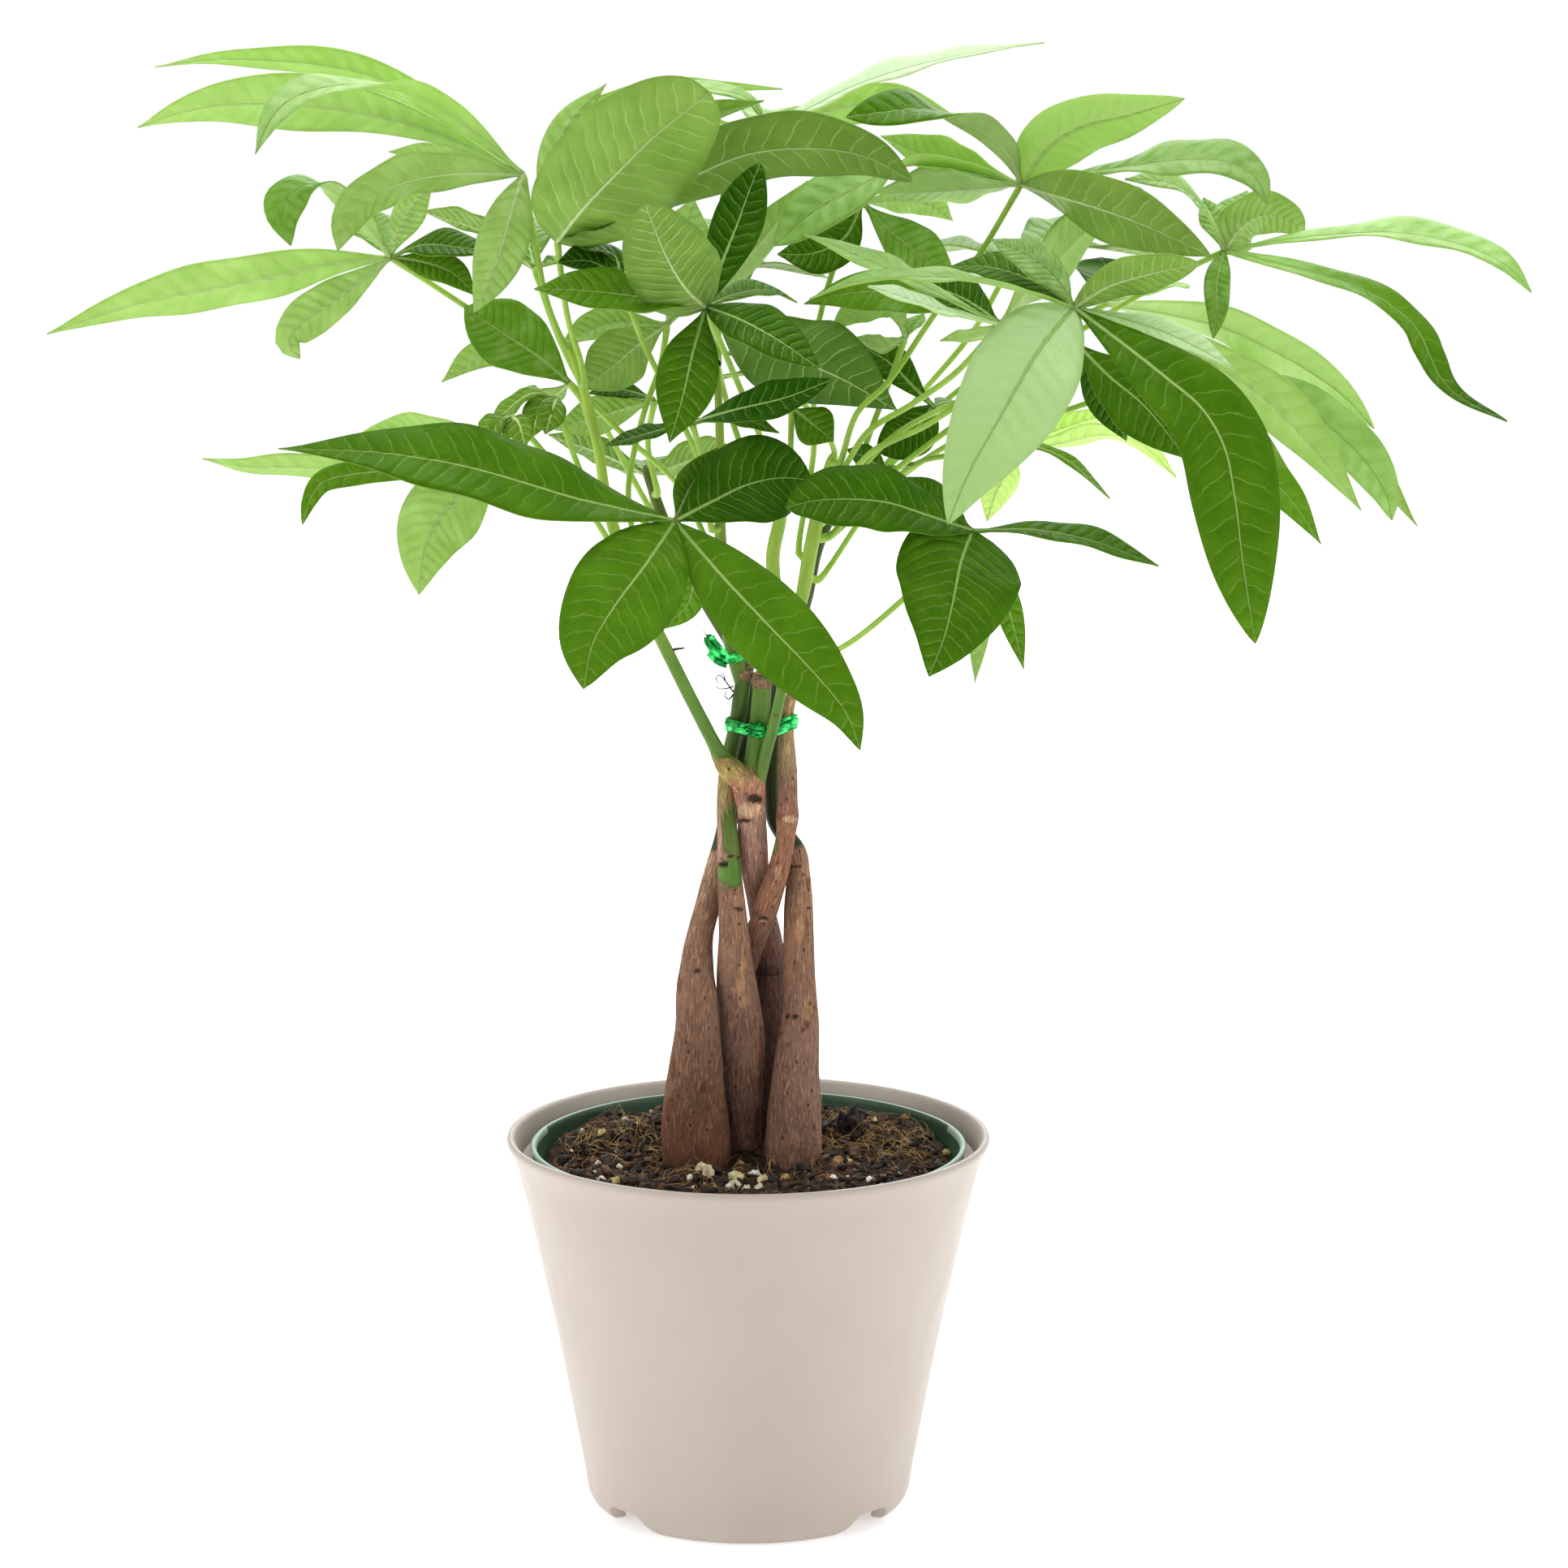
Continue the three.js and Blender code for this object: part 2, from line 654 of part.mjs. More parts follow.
    stalk: [[-27, 308, 52], [-30, 322, 64]],
    leaflets: [
      [13, -50, 0, [[-45, 329.5, 68], [-60, 334.5, 72]]],
      [17, -50, 0, [[-18, 327, 68], [-5, 331, 74]]],
      [18, 0, 0, [[-32, 327, 92], [-36, 322, 118]]],
    ],
  },
  leaf_young_left_outer: {
    grows: ["trunk_middle", 2, 301],
    stalk: [[-47, 310, -24], [-59, 326, -33], [-71, 340, -38]],
    leaflets: [
      [9, 20, 0, [[-76, 338.5, -41], [-80.5, 333, -43]]],
      [8, 60, 0, [[-74, 336, -43], [-73.5, 331, -45]]],
      [8, 70, 0, [[-69, 338, -43], [-67, 330.5, -45]]],
    ],
  },
  leaf_young_left_inner: {
    grows: ["trunk_middle", 2, 312],
    stalk: [[-49.5, 321, -20], [-54, 333, -22], [-57.5, 345.5, -22]],
    leaflets: [
      [10, 14, 0, [[-65, 347, -24], [-73, 341.5, -25], [-78, 336, -26]]],
      [9, 50, 0, [[-62, 344, -27], [-65, 333.5, -29]]],
      [9, 70, 0, [[-58.5, 343, -28], [-61, 334.5, -31]]],
    ],
  },
  leaf_rear_left_small: {
    grows: ["trunk_left", 0, 316],
    stalk: [[-30, 331, 34], [-28, 345, 26]],
    leaflets: [
      [13, -70, 0, [[-42, 341, 24], [-58, 336, 22]]],
      [8, 36, 0, [[-37, 348, 20], [-48, 347, 17]]],
    ],
  },
  leaf_rear_middle: {
    grows: ["trunk_middle", 2, 297],
    stalk: [[-36, 318, -8], [-31.5, 340, -1], [-26, 356, 9], [-24, 368, 14]],
    leaflets: [
      [20, -62, 0, [[-33, 362, 13], [-40, 356, 12], [-50, 348, 11]]],
      [13, -50, 0, [[-42, 368.5, 22], [-56, 362, 26]]],
      [20, -72, 0, [[-21, 384, 24], [-16, 406, 36]]],
      [16, -60, 0, [[2, 391, 52], [18, 411, 70]]],
    ],
  },
  leaf_middle_low: {
    grows: ["trunk_front", 1, 312],
    stalk: [[-12.5, 324, -20], [-16.8, 338, -30]],
    leaflets: [
      [13, 50, 0, [[-4, 342, -41], [12, 346, -47], [26.5, 351.5, -50]]],
      [9, 26, 0, [[-4, 340, -30], [9.5, 335, -30]]],
      [10, 20, 0, [[-30, 335, -32], [-43, 331, -32]]],
    ],
  },
  leaf_middle_small: {
    grows: ["trunk_crossing", 0, 314],
    stalk: [[13, 327, -7], [13.4, 342.5, -5]],
    leaflets: [
      [13, 70, 0, [[18.5, 338.5, -8], [26, 332.5, -11]]],
      [12, -50, 0, [[20, 348, 6], [32, 346, 14]]],
      [12, 10, 0, [[6, 346, 8], [0, 346, 20]]],
    ],
  },
  leaf_twig_right: {
    grows: ["trunk_middle", 3, 307],
    stalk: [[32, 322, 4], [38, 338, 12], [44, 354, 8], [47.5, 364, 4]],
    leaflets: [
      [9, -45, 0, [[41, 361.5, 4], [33, 364, 6]]],
      [12, -50, 0, [[44, 372.5, 5], [34, 372, 7], [25, 366.5, 9]]],
      [6, 10, 0, [[50, 368, 8], [53, 371, 13]]],
    ],
  },
  leaf_inner_middle: {
    grows: ["trunk_right", 0, 315],
    stalk: [[44, 326, 34], [52, 336, 22], [56, 343, 14]],
    leaflets: [
      [12, 50, 0, [[50, 349, 14], [42, 357, 17], [28, 364, 20]]],
      [16, 60, 0, [[50, 335.6, 11], [39, 329.2, 9]], 0.5, 0.75],
      [12, 0, 0, [[62, 345, 28], [68, 342, 42]]],
    ],
  },
  leaf_small_right: {
    grows: ["trunk_right", 0, 290],
    stalk: [[35, 310, 20], [43, 322, 8]],
    leaflets: [
      [9, 60, 0, [[37, 326.5, 3], [30, 330, -1]]],
      [8, 10, 0, [[46, 325, 0], [50, 325, -7]]],
    ],
  },
  leaf_rear_crown: {
    grows: ["trunk_right", 0, 296],
    stalk: [[20, 330, 40], [20, 360, 34], [27, 388, 28], [34.5, 404.5, 26]],
    leaflets: [
      [16, 60, 0, [[43, 396, 27], [53, 388, 28], [63, 380, 28]]],
      [16, 60, 0, [[29, 394, 24], [20, 389.5, 22], [9, 389, 20]]],
      [12, -60, 0, [[44, 405.5, 34], [54, 404.3, 38], [61.5, 399.2, 42]]],
    ],
  },
  leaf_shaded_left: {
    grows: ["trunk_front", 1, 306],
    stalk: [[-13, 322, -8], [-22, 343, -16], [-32, 364, -24], [-38, 381, -30]],
    leaflets: [
      [14, 30, 0, [[-47, 387, -30], [-57, 386.5, -32]]],
      [11, 8, 0, [[-40, 389, -26], [-50, 391, -27]]],
    ],
  },
  leaf_back_left: {
    grows: ["trunk_left", 0, 310],
    stalk: [[-42, 335, 60], [-56, 362, 72], [-64, 385, 78]],
    leaflets: [
      [24, 0, 0, [[-78, 392, 102], [-92, 392, 132]]],
      [24, 0, 0, [[-66, 397, 108], [-64, 400, 146]]],
      [22, -10, 0, [[-50, 388, 100], [-40, 384, 126]]],
      [16, -40, 0, [[-78, 396, 84], [-97, 402, 94]]],
    ],
  },
  leaf_back_middle: {
    grows: ["trunk_crossing", 0, 316],
    stalk: [[0, 327, 5], [-5, 340, 13], [-9, 356, 32], [-14, 382, 82]],
    leaflets: [
      [24, 0, 0, [[-22, 392, 110], [-32, 394, 144]]],
      [26, 0, 0, [[-6, 396, 112], [2, 398, 150]]],
      [22, 0, 0, [[4, 386, 104], [24, 382, 128]]],
      [18, 0, 0, [[-32, 382, 96], [-48, 374, 114]]],
    ],
  },
  leaf_back_right: {
    grows: ["trunk_right", 0, 320],
    stalk: [[50, 344, 62], [68, 366, 76], [80, 388, 84]],
    leaflets: [
      [26, 0, 0, [[94, 397, 112], [108, 400, 146]]],
      [24, 0, 0, [[70, 392, 112], [60, 390, 146]]],
      [22, 0, 0, [[100, 392, 92], [124, 388, 106]]],
      [20, 0, 0, [[62, 392, 100], [44, 392, 120]]],
    ],
  },
  leaf_back_low: {
    grows: ["trunk_right", 0, 310],
    stalk: [[26, 330, 62], [16, 345, 76], [8, 354, 86]],
    leaflets: [
      [22, 0, 0, [[-4, 360, 112], [-12, 358, 142]]],
      [22, 0, 0, [[16, 362, 114], [24, 358, 146]]],
      [20, 0, 0, [[26, 356, 98], [42, 348, 112]]],
      [18, 0, 0, [[-8, 352, 96], [-26, 346, 110]]],
    ],
  },
};
const YOUNG_LEAVES = ["leaf_young_right", "leaf_young_left_outer", "leaf_young_left_inner"];

function radians(degrees) {
  return (degrees * Math.PI) / 180;
}

// The place of [x, z, y], as seen from EYE.
function seen([x, z, y]) {
  const far = 1 - y / EYE.y;
  return new THREE.Vector3(EYE.x + (x - EYE.x) * far, y, EYE.z + (z - EYE.z) * far);
}

// Points at equal steps along a smooth curve through the given points, each with its direction.
function smooth(points, steps) {
  const curve = new THREE.CatmullRomCurve3(points, false, "centripetal");
  curve.arcLengthDivisions = 400;
  const list = [];
  for (let i = 0; i <= steps; i += 1) {
    list.push({ at: curve.getPointAt(i / steps), along: curve.getTangentAt(i / steps) });
  }
  return list;
}

// The part of a direction that is square to another one.
function squareTo(direction, axis) {
  return direction.clone().addScaledVector(axis, -direction.dot(axis)).normalize();
}

// A closed solid from rings with the same count of corners, with flat ends.
// The quads of the sides in `swapped` are split along their other diagonal, so that a waved blade's
// two faces are split alike.
function loft(rings, swapped = []) {
  const count = rings[0].length;
  const vertices = rings.flat().flatMap((p) => [p.x, p.y, p.z]);
  const triangles = [];
  for (let r = 0; r + 1 < rings.length; r += 1) {
    for (let k = 0; k < count; k += 1) {
      const a = r * count + k;
      const b = r * count + ((k + 1) % count);
      if (swapped.includes(k)) {
        triangles.push(a, b, a + count, b, b + count, a + count);
      } else {
        triangles.push(a, b, b + count, a, b + count, a + count);
      }
    }
  }
  const last = (rings.length - 1) * count;
  for (let k = 1; k + 1 < count; k += 1) {
    triangles.push(0, k + 1, k, last, last + k, last + k + 1);
  }
  return solid(vertices, triangles);
}

function solid(vertices, triangles) {
  const mesh = new wasm.Mesh({
    numProp: 3,
    vertProperties: new Float32Array(vertices),
    triVerts: new Uint32Array(triangles),
  });
  return new wasm.Manifold(mesh);
}

function solidOf(geometry) {
  const bare = geometry.clone().deleteAttribute("normal").deleteAttribute("uv");
  const merged = mergeVertices(bare, 1e-3);
  return solid(merged.attributes.position.array, merged.index.array);
}

function geometryOf(made) {
  const mesh = made.getMesh();
  const geometry = new THREE.BufferGeometry();
  geometry.setAttribute("position", new THREE.Float32BufferAttribute(mesh.vertProperties, 3));
  geometry.setIndex(Array.from(mesh.triVerts));
  const flat = geometry.toNonIndexed();
  flat.computeVertexNormals();
  return flat;
}

// The place on a limb's centre line that is seen at a height, with the limb's radius and direction there.
function placeOn(route, height) {
  for (let i = 0; i + 1 < route.length; i += 1) {
    const [low, high] = [route[i], route[i + 1]];
    if (low[1] <= height && height <= high[1]) {
      const part = (height - low[1]) / (high[1] - low[1]);
      const here = low.map((value, k) => value + (high[k] - value) * part);
      return {
        at: seen(here),
        radius: here[3],
        along: seen(high).sub(seen(low)).normalize(),
      };
    }
  }
  throw new Error(`no place at ${height}`);
}

// A round limb: straight stretches between rings at its route's points, grown by `extra` all round.
function limb(route, sides, extra = 0) {
  const places = route.map((point) => seen(point));
  const rings = [];
  let across = new THREE.Vector3(1, 0, 0);
  places.forEach((place, i) => {
    const before = places[Math.max(i - 1, 0)];
    const after = places[Math.min(i + 1, places.length - 1)];
    const along = after.clone().sub(before).normalize();
    across = squareTo(across, along);
    const other = along.clone().cross(across);
    const ring = [];
    for (let k = 0; k < sides; k += 1) {
      const turn = (2 * Math.PI * k) / sides;
      const reach = route[i][3] + extra;
      ring.push(
        place
          .clone()
          .addScaledVector(across, reach * Math.cos(turn))
          .addScaledVector(other, reach * Math.sin(turn)),
      );
    }
    rings.push(ring);
  });
  return loft(rings);
}

// How wide a leaflet is at a part of its length, as a share of its greatest width.
function outline(part, widest, taper) {
  const power = Math.log(0.5) / Math.log(widest);
  return Math.sin(Math.PI * part ** power) ** taper;
}

// A leaflet: a thin blade with a narrow root and a pointed end.
function blade(hub, [width, face, twist, route, widest = WIDEST, taper = TAPER]) {
  const spine = smooth([hub, ...route.map(seen)], BLADE_STEPS);
  const half = BLADE_THICKNESS / 2;
  const stations = width > NARROW_BLADE ? BROAD_STATIONS : NARROW_STATIONS;
  const rings = stations.map((part) => {
    const { at, along } = spine[Math.round(part * BLADE_STEPS)];
    const turn = radians(face + twist * part);
    const up = squareTo(new THREE.Vector3(0, -Math.sin(turn), Math.cos(turn)), along);
    const side = along.clone().cross(up);
    const least = part < 1 ? ROOT_HALF_WIDTH : TIP_HALF_WIDTH;
    const reach = Math.max((outline(part, widest, taper) * width) / 2, least);
    const corner = (across, high) => at.clone().addScaledVector(side, across).addScaledVector(up, high);
    return [corner(-reach, half), corner(reach, half), corner(reach, -half), corner(-reach, -half)];
  });
  return loft(rings, [2]);
}

// A leaf: a stalk that leaves its limb squarely, just clear of the bark, and leaflets fused to its end.
function leaf({ grows: [trunk, index, height], stalk, leaflets }) {
  const from = placeOn(TRUNKS[trunk][index], height);
  const hub = seen(stalk[stalk.length - 1]);
  const out = squareTo(seen(stalk[0]).sub(from.at), from.along);
  const start = from.at.clone().addScaledVector(out, from.radius + CLEARANCE + 0.1);
  const bend = start.clone().addScaledVector(out, 1.6);
  const route = smooth([start, bend, ...stalk.map(seen)], stalk.length + 3);
  const rings = [];
  let across = from.along.clone();
  route.forEach(({ at, along }) => {
    across = squareTo(across, along);
    const other = along.clone().cross(across);
    const ring = [];
    for (let k = 0; k < STALK_SIDES; k += 1) {
      const turn = (2 * Math.PI * k) / STALK_SIDES;
      ring.push(
        at
          .clone()
          .addScaledVector(across, STALK_RADIUS * Math.cos(turn))
          .addScaledVector(other, STALK_RADIUS * Math.sin(turn)),
      );
    }
    rings.push(ring);
  });
  const past = hub.clone().addScaledVector(route[route.length - 1].along, 0.5);
  rings.push(rings[rings.length - 1].map((p) => p.clone().sub(hub).multiplyScalar(0.6).add(past)));
  return wasm.Manifold.union([loft(rings), ...leaflets.map((one) => blade(hub, one))]).simplify(0.1);
}

// A body turned about Z from [radius, height] pairs that start and end on the axis or close on themselves.
function lathed(profile) {
  const points = profile.map(([radius, height]) => new THREE.Vector2(radius, height));
  const geometry = new THREE.LatheGeometry(points, POT_SIDES);
  geometry.rotateX(Math.PI / 2);
  return solidOf(geometry);
}

function coverPot() {
  const lip = COVER_OUTSIDE[COVER_OUTSIDE.length - 1];
  const inside = COVER_OUTSIDE.slice(4, -5)
    .map(([radius, height]) => [radius - COVER_WALL, height])
    .reverse();
  const floorTop = COVER_FLOOR_UNDERSIDE + COVER_FLOOR;
  const foot = COVER_OUTSIDE[0][0] - FOOT_RING_WIDTH;
  const body = lathed([
    ...COVER_OUTSIDE,
    [lip[0] - 0.9, 116.4],
    [71, 112.5],
    ...inside,
    [COVER_OUTSIDE[4][0] - COVER_WALL - 0.4, floorTop],
    [0, floorTop],
    [0, 0],
    [FOOT_BOSS, 0],
    [FOOT_BOSS + 1, COVER_FLOOR_UNDERSIDE],
    [foot + 2.6, COVER_FLOOR_UNDERSIDE],
    [foot + 2.2, 4],
    [foot, 0],
    COVER_OUTSIDE[0],
  ]);
  return NOTCH_ANGLES.reduce((pot, angle) => pot.subtract(notch(angle)), body);
}

// A tool that cuts one notch through the foot ring: an S-sided gap, wider at the foot.
function notch(angle) {
  const shape = new THREE.Shape();
  shape.moveTo(-NOTCH_HALF_FOOT, -1);
  shape.lineTo(-NOTCH_HALF_FOOT + 1.2, 0.8);
  shape.lineTo(-NOTCH_HALF_TOP - 0.6, NOTCH_HEIGHT - 1);
  shape.lineTo(-NOTCH_HALF_TOP + 1.4, NOTCH_HEIGHT);
  shape.lineTo(NOTCH_HALF_TOP - 1.4, NOTCH_HEIGHT);
  shape.lineTo(NOTCH_HALF_TOP + 0.6, NOTCH_HEIGHT - 1);
  shape.lineTo(NOTCH_HALF_FOOT - 1.2, 0.8);
  shape.lineTo(NOTCH_HALF_FOOT, -1);
  shape.closePath();
  const cutter = new THREE.ExtrudeGeometry(shape, { depth: 26, bevelEnabled: false });
  cutter.rotateX(Math.PI / 2);
  cutter.translate(0, -34, 0);
  cutter.rotateZ(radians(angle));
  return solidOf(cutter);
}

function nurseryPot() {
  const outside = NURSERY_OUTSIDE.map(([radius, height]) => [radius, height + NURSERY_BOTTOM]);
  const top = outside[outside.length - 1];
  const ledge = outside[5];
  const wall = outside.slice(1, 5).reverse();
  const inside = [
    [top[0] - 2, top[1]],
    [ledge[0] - NURSERY_WALL, ledge[1] + 1.6],
    ...wall.map(([radius, height]) => [radius - NURSERY_WALL, height]),
  ];
  return lathed([
    [0, NURSERY_BOTTOM],
    ...outside,
    ...inside,
    [0, NURSERY_BOTTOM + NURSERY_WALL],
  ]);
}

// The soil fills the grower's pot to a rough mound, with a plain hole for each trunk.
function soil() {
  const low = NURSERY_BOTTOM + NURSERY_WALL + CLEARANCE;
  const bottomRadius = NURSERY_OUTSIDE[1][0] - NURSERY_WALL - CLEARANCE - 0.4;
  const body = lathed([
    [0, low],
    [bottomRadius, low + 0.6],
    [61.4, NURSERY_BOTTOM + 92],
    [63.1, SOIL_EDGE - 0.8],
    [61, SOIL_EDGE],
    [44, SOIL_EDGE + 1.4],
    [24, SOIL_CROWN],
    [0, SOIL_CROWN],
  ]);
  return Object.values(TRUNKS).reduce((mix, [trunk]) => {
    const buried = trunk.slice(0, 5);
    const [first, second] = buried;
    const below = first.map((value, k) => value + (value - second[k]) * 0.03);
    below[3] = first[3];
    return mix.subtract(limb([below, ...buried.slice(1)], TRUNK_SIDES, CLEARANCE + 0.1));
  }, body);
}

// The tie's route round the stems at its height: the outline of their circles, from above.
function tieOutline() {
  const dots = [];
  const stems = [
    ["trunk_left", 0],
    ["trunk_front", 0],
    ["trunk_middle", 1],
    ["trunk_crossing", 0],
    ["trunk_right", 0],
  ];
  stems.forEach(([trunk, index]) => {
    const { at, radius } = placeOn(TRUNKS[trunk][index], TIE.seenAt);
    for (let k = 0; k < 16; k += 1) {
      const turn = (2 * Math.PI * k) / 16;
      const reach = radius + TIE.gap;
      dots.push(new THREE.Vector2(at.x + reach * Math.cos(turn), at.y + reach * Math.sin(turn)));
    }
  });
  dots.sort((a, b) => a.x - b.x || a.y - b.y);
  const half = (list) => {
    const chain = [];
    list.forEach((dot) => {
      while (chain.length > 1) {
        const edge = chain[chain.length - 1].clone().sub(chain[chain.length - 2]);
        if (edge.cross(dot.clone().sub(chain[chain.length - 1])) > 0) break;
        chain.pop();
      }
      chain.push(dot);
    });
    return chain.slice(0, -1);
  };
  return [...half(dots), ...half([...dots].reverse())];
}

// The foil band, with the twisted knot of its ends fused on at the front.
function tieBand() {
  const route = tieOutline();
  const middle = new THREE.Vector2();
  route.forEach((dot) => middle.addScaledVector(dot, 1 / route.length));
  const count = route.length;
  const rings = route.map((dot, i) => {
    const along = route[(i + 1) % count].clone().sub(route[(i + count - 1) % count]).normalize();
    const out = new THREE.Vector2(along.y, -along.x);
    const outer = dot.clone().addScaledVector(out, TIE.thickness);
    const level = TIE.level + (dot.x - middle.x) * TIE.tilt;
    const [low, high] = [level - TIE.bandHeight / 2, level + TIE.bandHeight / 2];
    return [
      new THREE.Vector3(dot.x, dot.y, low),
      new THREE.Vector3(outer.x, outer.y, low),
      new THREE.Vector3(outer.x, outer.y, high),
      new THREE.Vector3(dot.x, dot.y, high),
    ];
  });
  const vertices = rings.flat().flatMap((p) => [p.x, p.y, p.z]);
  const triangles = [];
  for (let r = 0; r < count; r += 1) {
    for (let k = 0; k < 4; k += 1) {
      const a = r * 4 + k;
      const b = r * 4 + ((k + 1) % 4);
      const [c, d] = [a, b].map((corner) => (corner + 4) % (count * 4));
      triangles.push(a, d, b, a, c, d);
    }
  }
  return solid(vertices, triangles);
}

function tieEnd() {
  const { at, along } = placeOn(TRUNKS.trunk_front[1], TIE_END.height);
  const across = squareTo(new THREE.Vector3(1, 0, 0), along);
  const other = along.clone().cross(across);
  const sides = 12;
  const vertices = [];
  for (let k = 0; k < sides; k += 1) {
    const turn = (2 * Math.PI * k) / sides;
    const out = across.clone().multiplyScalar(Math.cos(turn)).addScaledVector(other, Math.sin(turn));
    const corners = [
      [TIE_END.radius, -TIE_END.bandHeight / 2],
      [TIE_END.radius + TIE_END.thickness, -TIE_END.bandHeight / 2],
      [TIE_END.radius + TIE_END.thickness, TIE_END.bandHeight / 2],
      [TIE_END.radius, TIE_END.bandHeight / 2],
    ];
    corners.forEach(([reach, high]) => {
      const p = at.clone().addScaledVector(out, reach).addScaledVector(along, high);
      vertices.push(p.x, p.y, p.z);
    });
  }
  const triangles = [];
  for (let r = 0; r < sides; r += 1) {
    for (let k = 0; k < 4; k += 1) {
      const a = r * 4 + k;
      const b = r * 4 + ((k + 1) % 4);
      const [c, d] = [a, b].map((corner) => (corner + 4) % (sides * 4));
      triangles.push(a, d, b, a, c, d);
    }
  }
  return solid(vertices, triangles);
}

const plant = new THREE.Group();

function add(name, made, colour, roughness) {
  const material = new THREE.MeshStandardMaterial({ color: colour, roughness, metalness: 0 });
  const mesh = new THREE.Mesh(geometryOf(made), material);
  mesh.name = name;
  plant.add(mesh);
}

add("cover_pot", coverPot(), COLOURS.cover, 0.55);
add("nursery_pot", nurseryPot(), COLOURS.nursery, 0.5);
add("soil", soil(), COLOURS.soil, 0.95);
Object.entries(TRUNKS).forEach(([name, [trunk, ...shoots]]) => {
  const limbs = [limb(trunk, TRUNK_SIDES), ...shoots.map((shoot) => limb(shoot, SHOOT_SIDES))];
  add(name, wasm.Manifold.union(limbs), COLOURS.bark, 0.8);
});
add("tie_band", tieBand(), COLOURS.tie, 0.3);
add("tie_end", tieEnd(), COLOURS.tie, 0.3);
Object.entries(LEAVES).forEach(([name, parts]) => {
  const colour = YOUNG_LEAVES.includes(name) ? COLOURS.youngLeaf : COLOURS.leaf;
  add(name, leaf(parts), colour, 0.45);
});

export default plant;
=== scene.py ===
"""A potted money tree: finer leaves, bark, pots, soil and foil ties in place of the plain solids."""

import math
import random

import bmesh
import bpy
import numpy as np
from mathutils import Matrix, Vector, noise


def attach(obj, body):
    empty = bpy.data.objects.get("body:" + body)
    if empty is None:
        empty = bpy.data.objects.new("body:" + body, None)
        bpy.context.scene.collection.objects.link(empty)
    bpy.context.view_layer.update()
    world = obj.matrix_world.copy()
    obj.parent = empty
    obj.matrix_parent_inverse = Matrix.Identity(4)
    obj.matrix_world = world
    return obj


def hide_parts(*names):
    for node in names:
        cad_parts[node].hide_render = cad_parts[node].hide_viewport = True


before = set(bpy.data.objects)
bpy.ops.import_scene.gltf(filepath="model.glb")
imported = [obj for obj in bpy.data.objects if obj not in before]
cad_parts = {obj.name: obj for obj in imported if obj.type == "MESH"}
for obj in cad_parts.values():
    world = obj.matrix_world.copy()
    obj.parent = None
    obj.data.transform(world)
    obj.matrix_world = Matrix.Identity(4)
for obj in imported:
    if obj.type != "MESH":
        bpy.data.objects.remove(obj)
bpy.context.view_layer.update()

MM = 0.001

# The plant is laid out as it is seen from EYE: a point is written [x, z, y], in millimetres, where x and z
# are the place at which its line of sight crosses the plane y = 0, and y is its own depth.
EYE = np.array([11.0, -1900.0, 605.0])
CAMERA_TILT = 78.75
CAMERA_LENS = 145.94
SENSOR = 36

# Light. A lamp has its place and the place that it points at, in metres, its size and its power.
SKY_LIGHT = 0.62
FLOOR_GLOW = 0.45
LAMPS = [
    ("overhead", (0.0, 0.2, 1.6), (0, 0, 0.35), 1.4, 19),
    ("left", (-1.7, -0.5, 0.7), (0, 0, 0.2), 1.2, 12),
    ("right", (1.7, -0.4, 0.7), (0, 0, 0.2), 1.2, 10),
    ("back", (0.2, 1.6, 1.2), (0, 0, 0.35), 1.4, 18),
]

# Cover pot, [radius, height] from the foot up to the lip, and its foot ring with four notches.
COVER_OUTSIDE = [
    [50.1, 6], [51.0, 12], [53.4, 25], [58.4, 51.5], [63.9, 77.5], [68.4, 97], [70.0, 103.5], [71.4, 109],
    [72.8, 112.6], [74.0, 115], [74.4, 116.2], [74.1, 117.1], [73.4, 117.5], [72.6, 117.3], [71.8, 116.2],
    [70.6, 112.5],
]
COVER_INSIDE = [[67.6, 103.5], [61.5, 77.5], [56.0, 51.5], [51.0, 25], [48.4, 12], [47.4, 10.6]]
FOOT_CORNER = [[44.4, 0], [45.8, 0.25], [46.9, 1], [48.0, 1.9], [48.9, 3], [49.6, 4.4], [50.1, 6]]
# The heights and radii of the foot ring's inner side, up to the floor.
FOOT_INSIDE = [[0, 4, 8], [41.8, 44.2, 44.6]]
FLOOR_UNDERSIDE = 8
FOOT_BOSS = 12
NOTCH_ANGLES = [-130, -50, 50, 130]
NOTCH_HEIGHT = 6.2
NOTCH_HALF_WIDTH = 10.2
NOTCH_SHOULDER = 4.3
FOOT_TOP = 12
FOOT_ROWS = 14
LOW_WALL_TOP = 26
POT_COLUMNS = 300

# Grower's pot, [radius, height] from the middle of its bottom round to the middle of its floor.
NURSERY_BOTTOM = 10.9
NURSERY = [
    [0, 0], [43.2, 0], [44.6, 0.4], [46, 1.5], [63.4, 92], [65.2, 92.6], [65.7, 94], [66.6, 101.5],
    [67.2, 102.9], [66.7, 103.5], [65.8, 103.5], [65.3, 102.8], [65.2, 101.6], [64.2, 94.6], [62, 92],
    [44.6, 2.4], [0, 1.4],
]

NURSERY_RIM = 101.4
NURSERY_COLUMNS = 192
NURSERY_STEP = 6
# Inside, the rim is painted dark as shade from this far behind the middle, as a share of its radius.
NURSERY_DARK_BEHIND = 0.3

# Soil.
SOIL_RADIUS = 62.9
SOIL_EDGE = 105.6
SOIL_CROWN = 106.4
SOIL_FLOOR = 13
SOIL_BACK_RISE = 5.6
# Where each hump is, across and behind the middle, its reach and its height.
SOIL_HUMPS = [[-17, -14, 6, 3.4], [-31, 22, 9, 2.5], [24, -13, 5, 1]]
# Waves of noise in the soil: height, how close together, seed.
SOIL_WAVES = [(1.8, 60, 4.0), (1.5, 150, 9.0)]
SOIL_CRUMBS = [(1.3, 380, 2.0), (0.7, 1100, 5.0)]
SOIL_TOP = 116
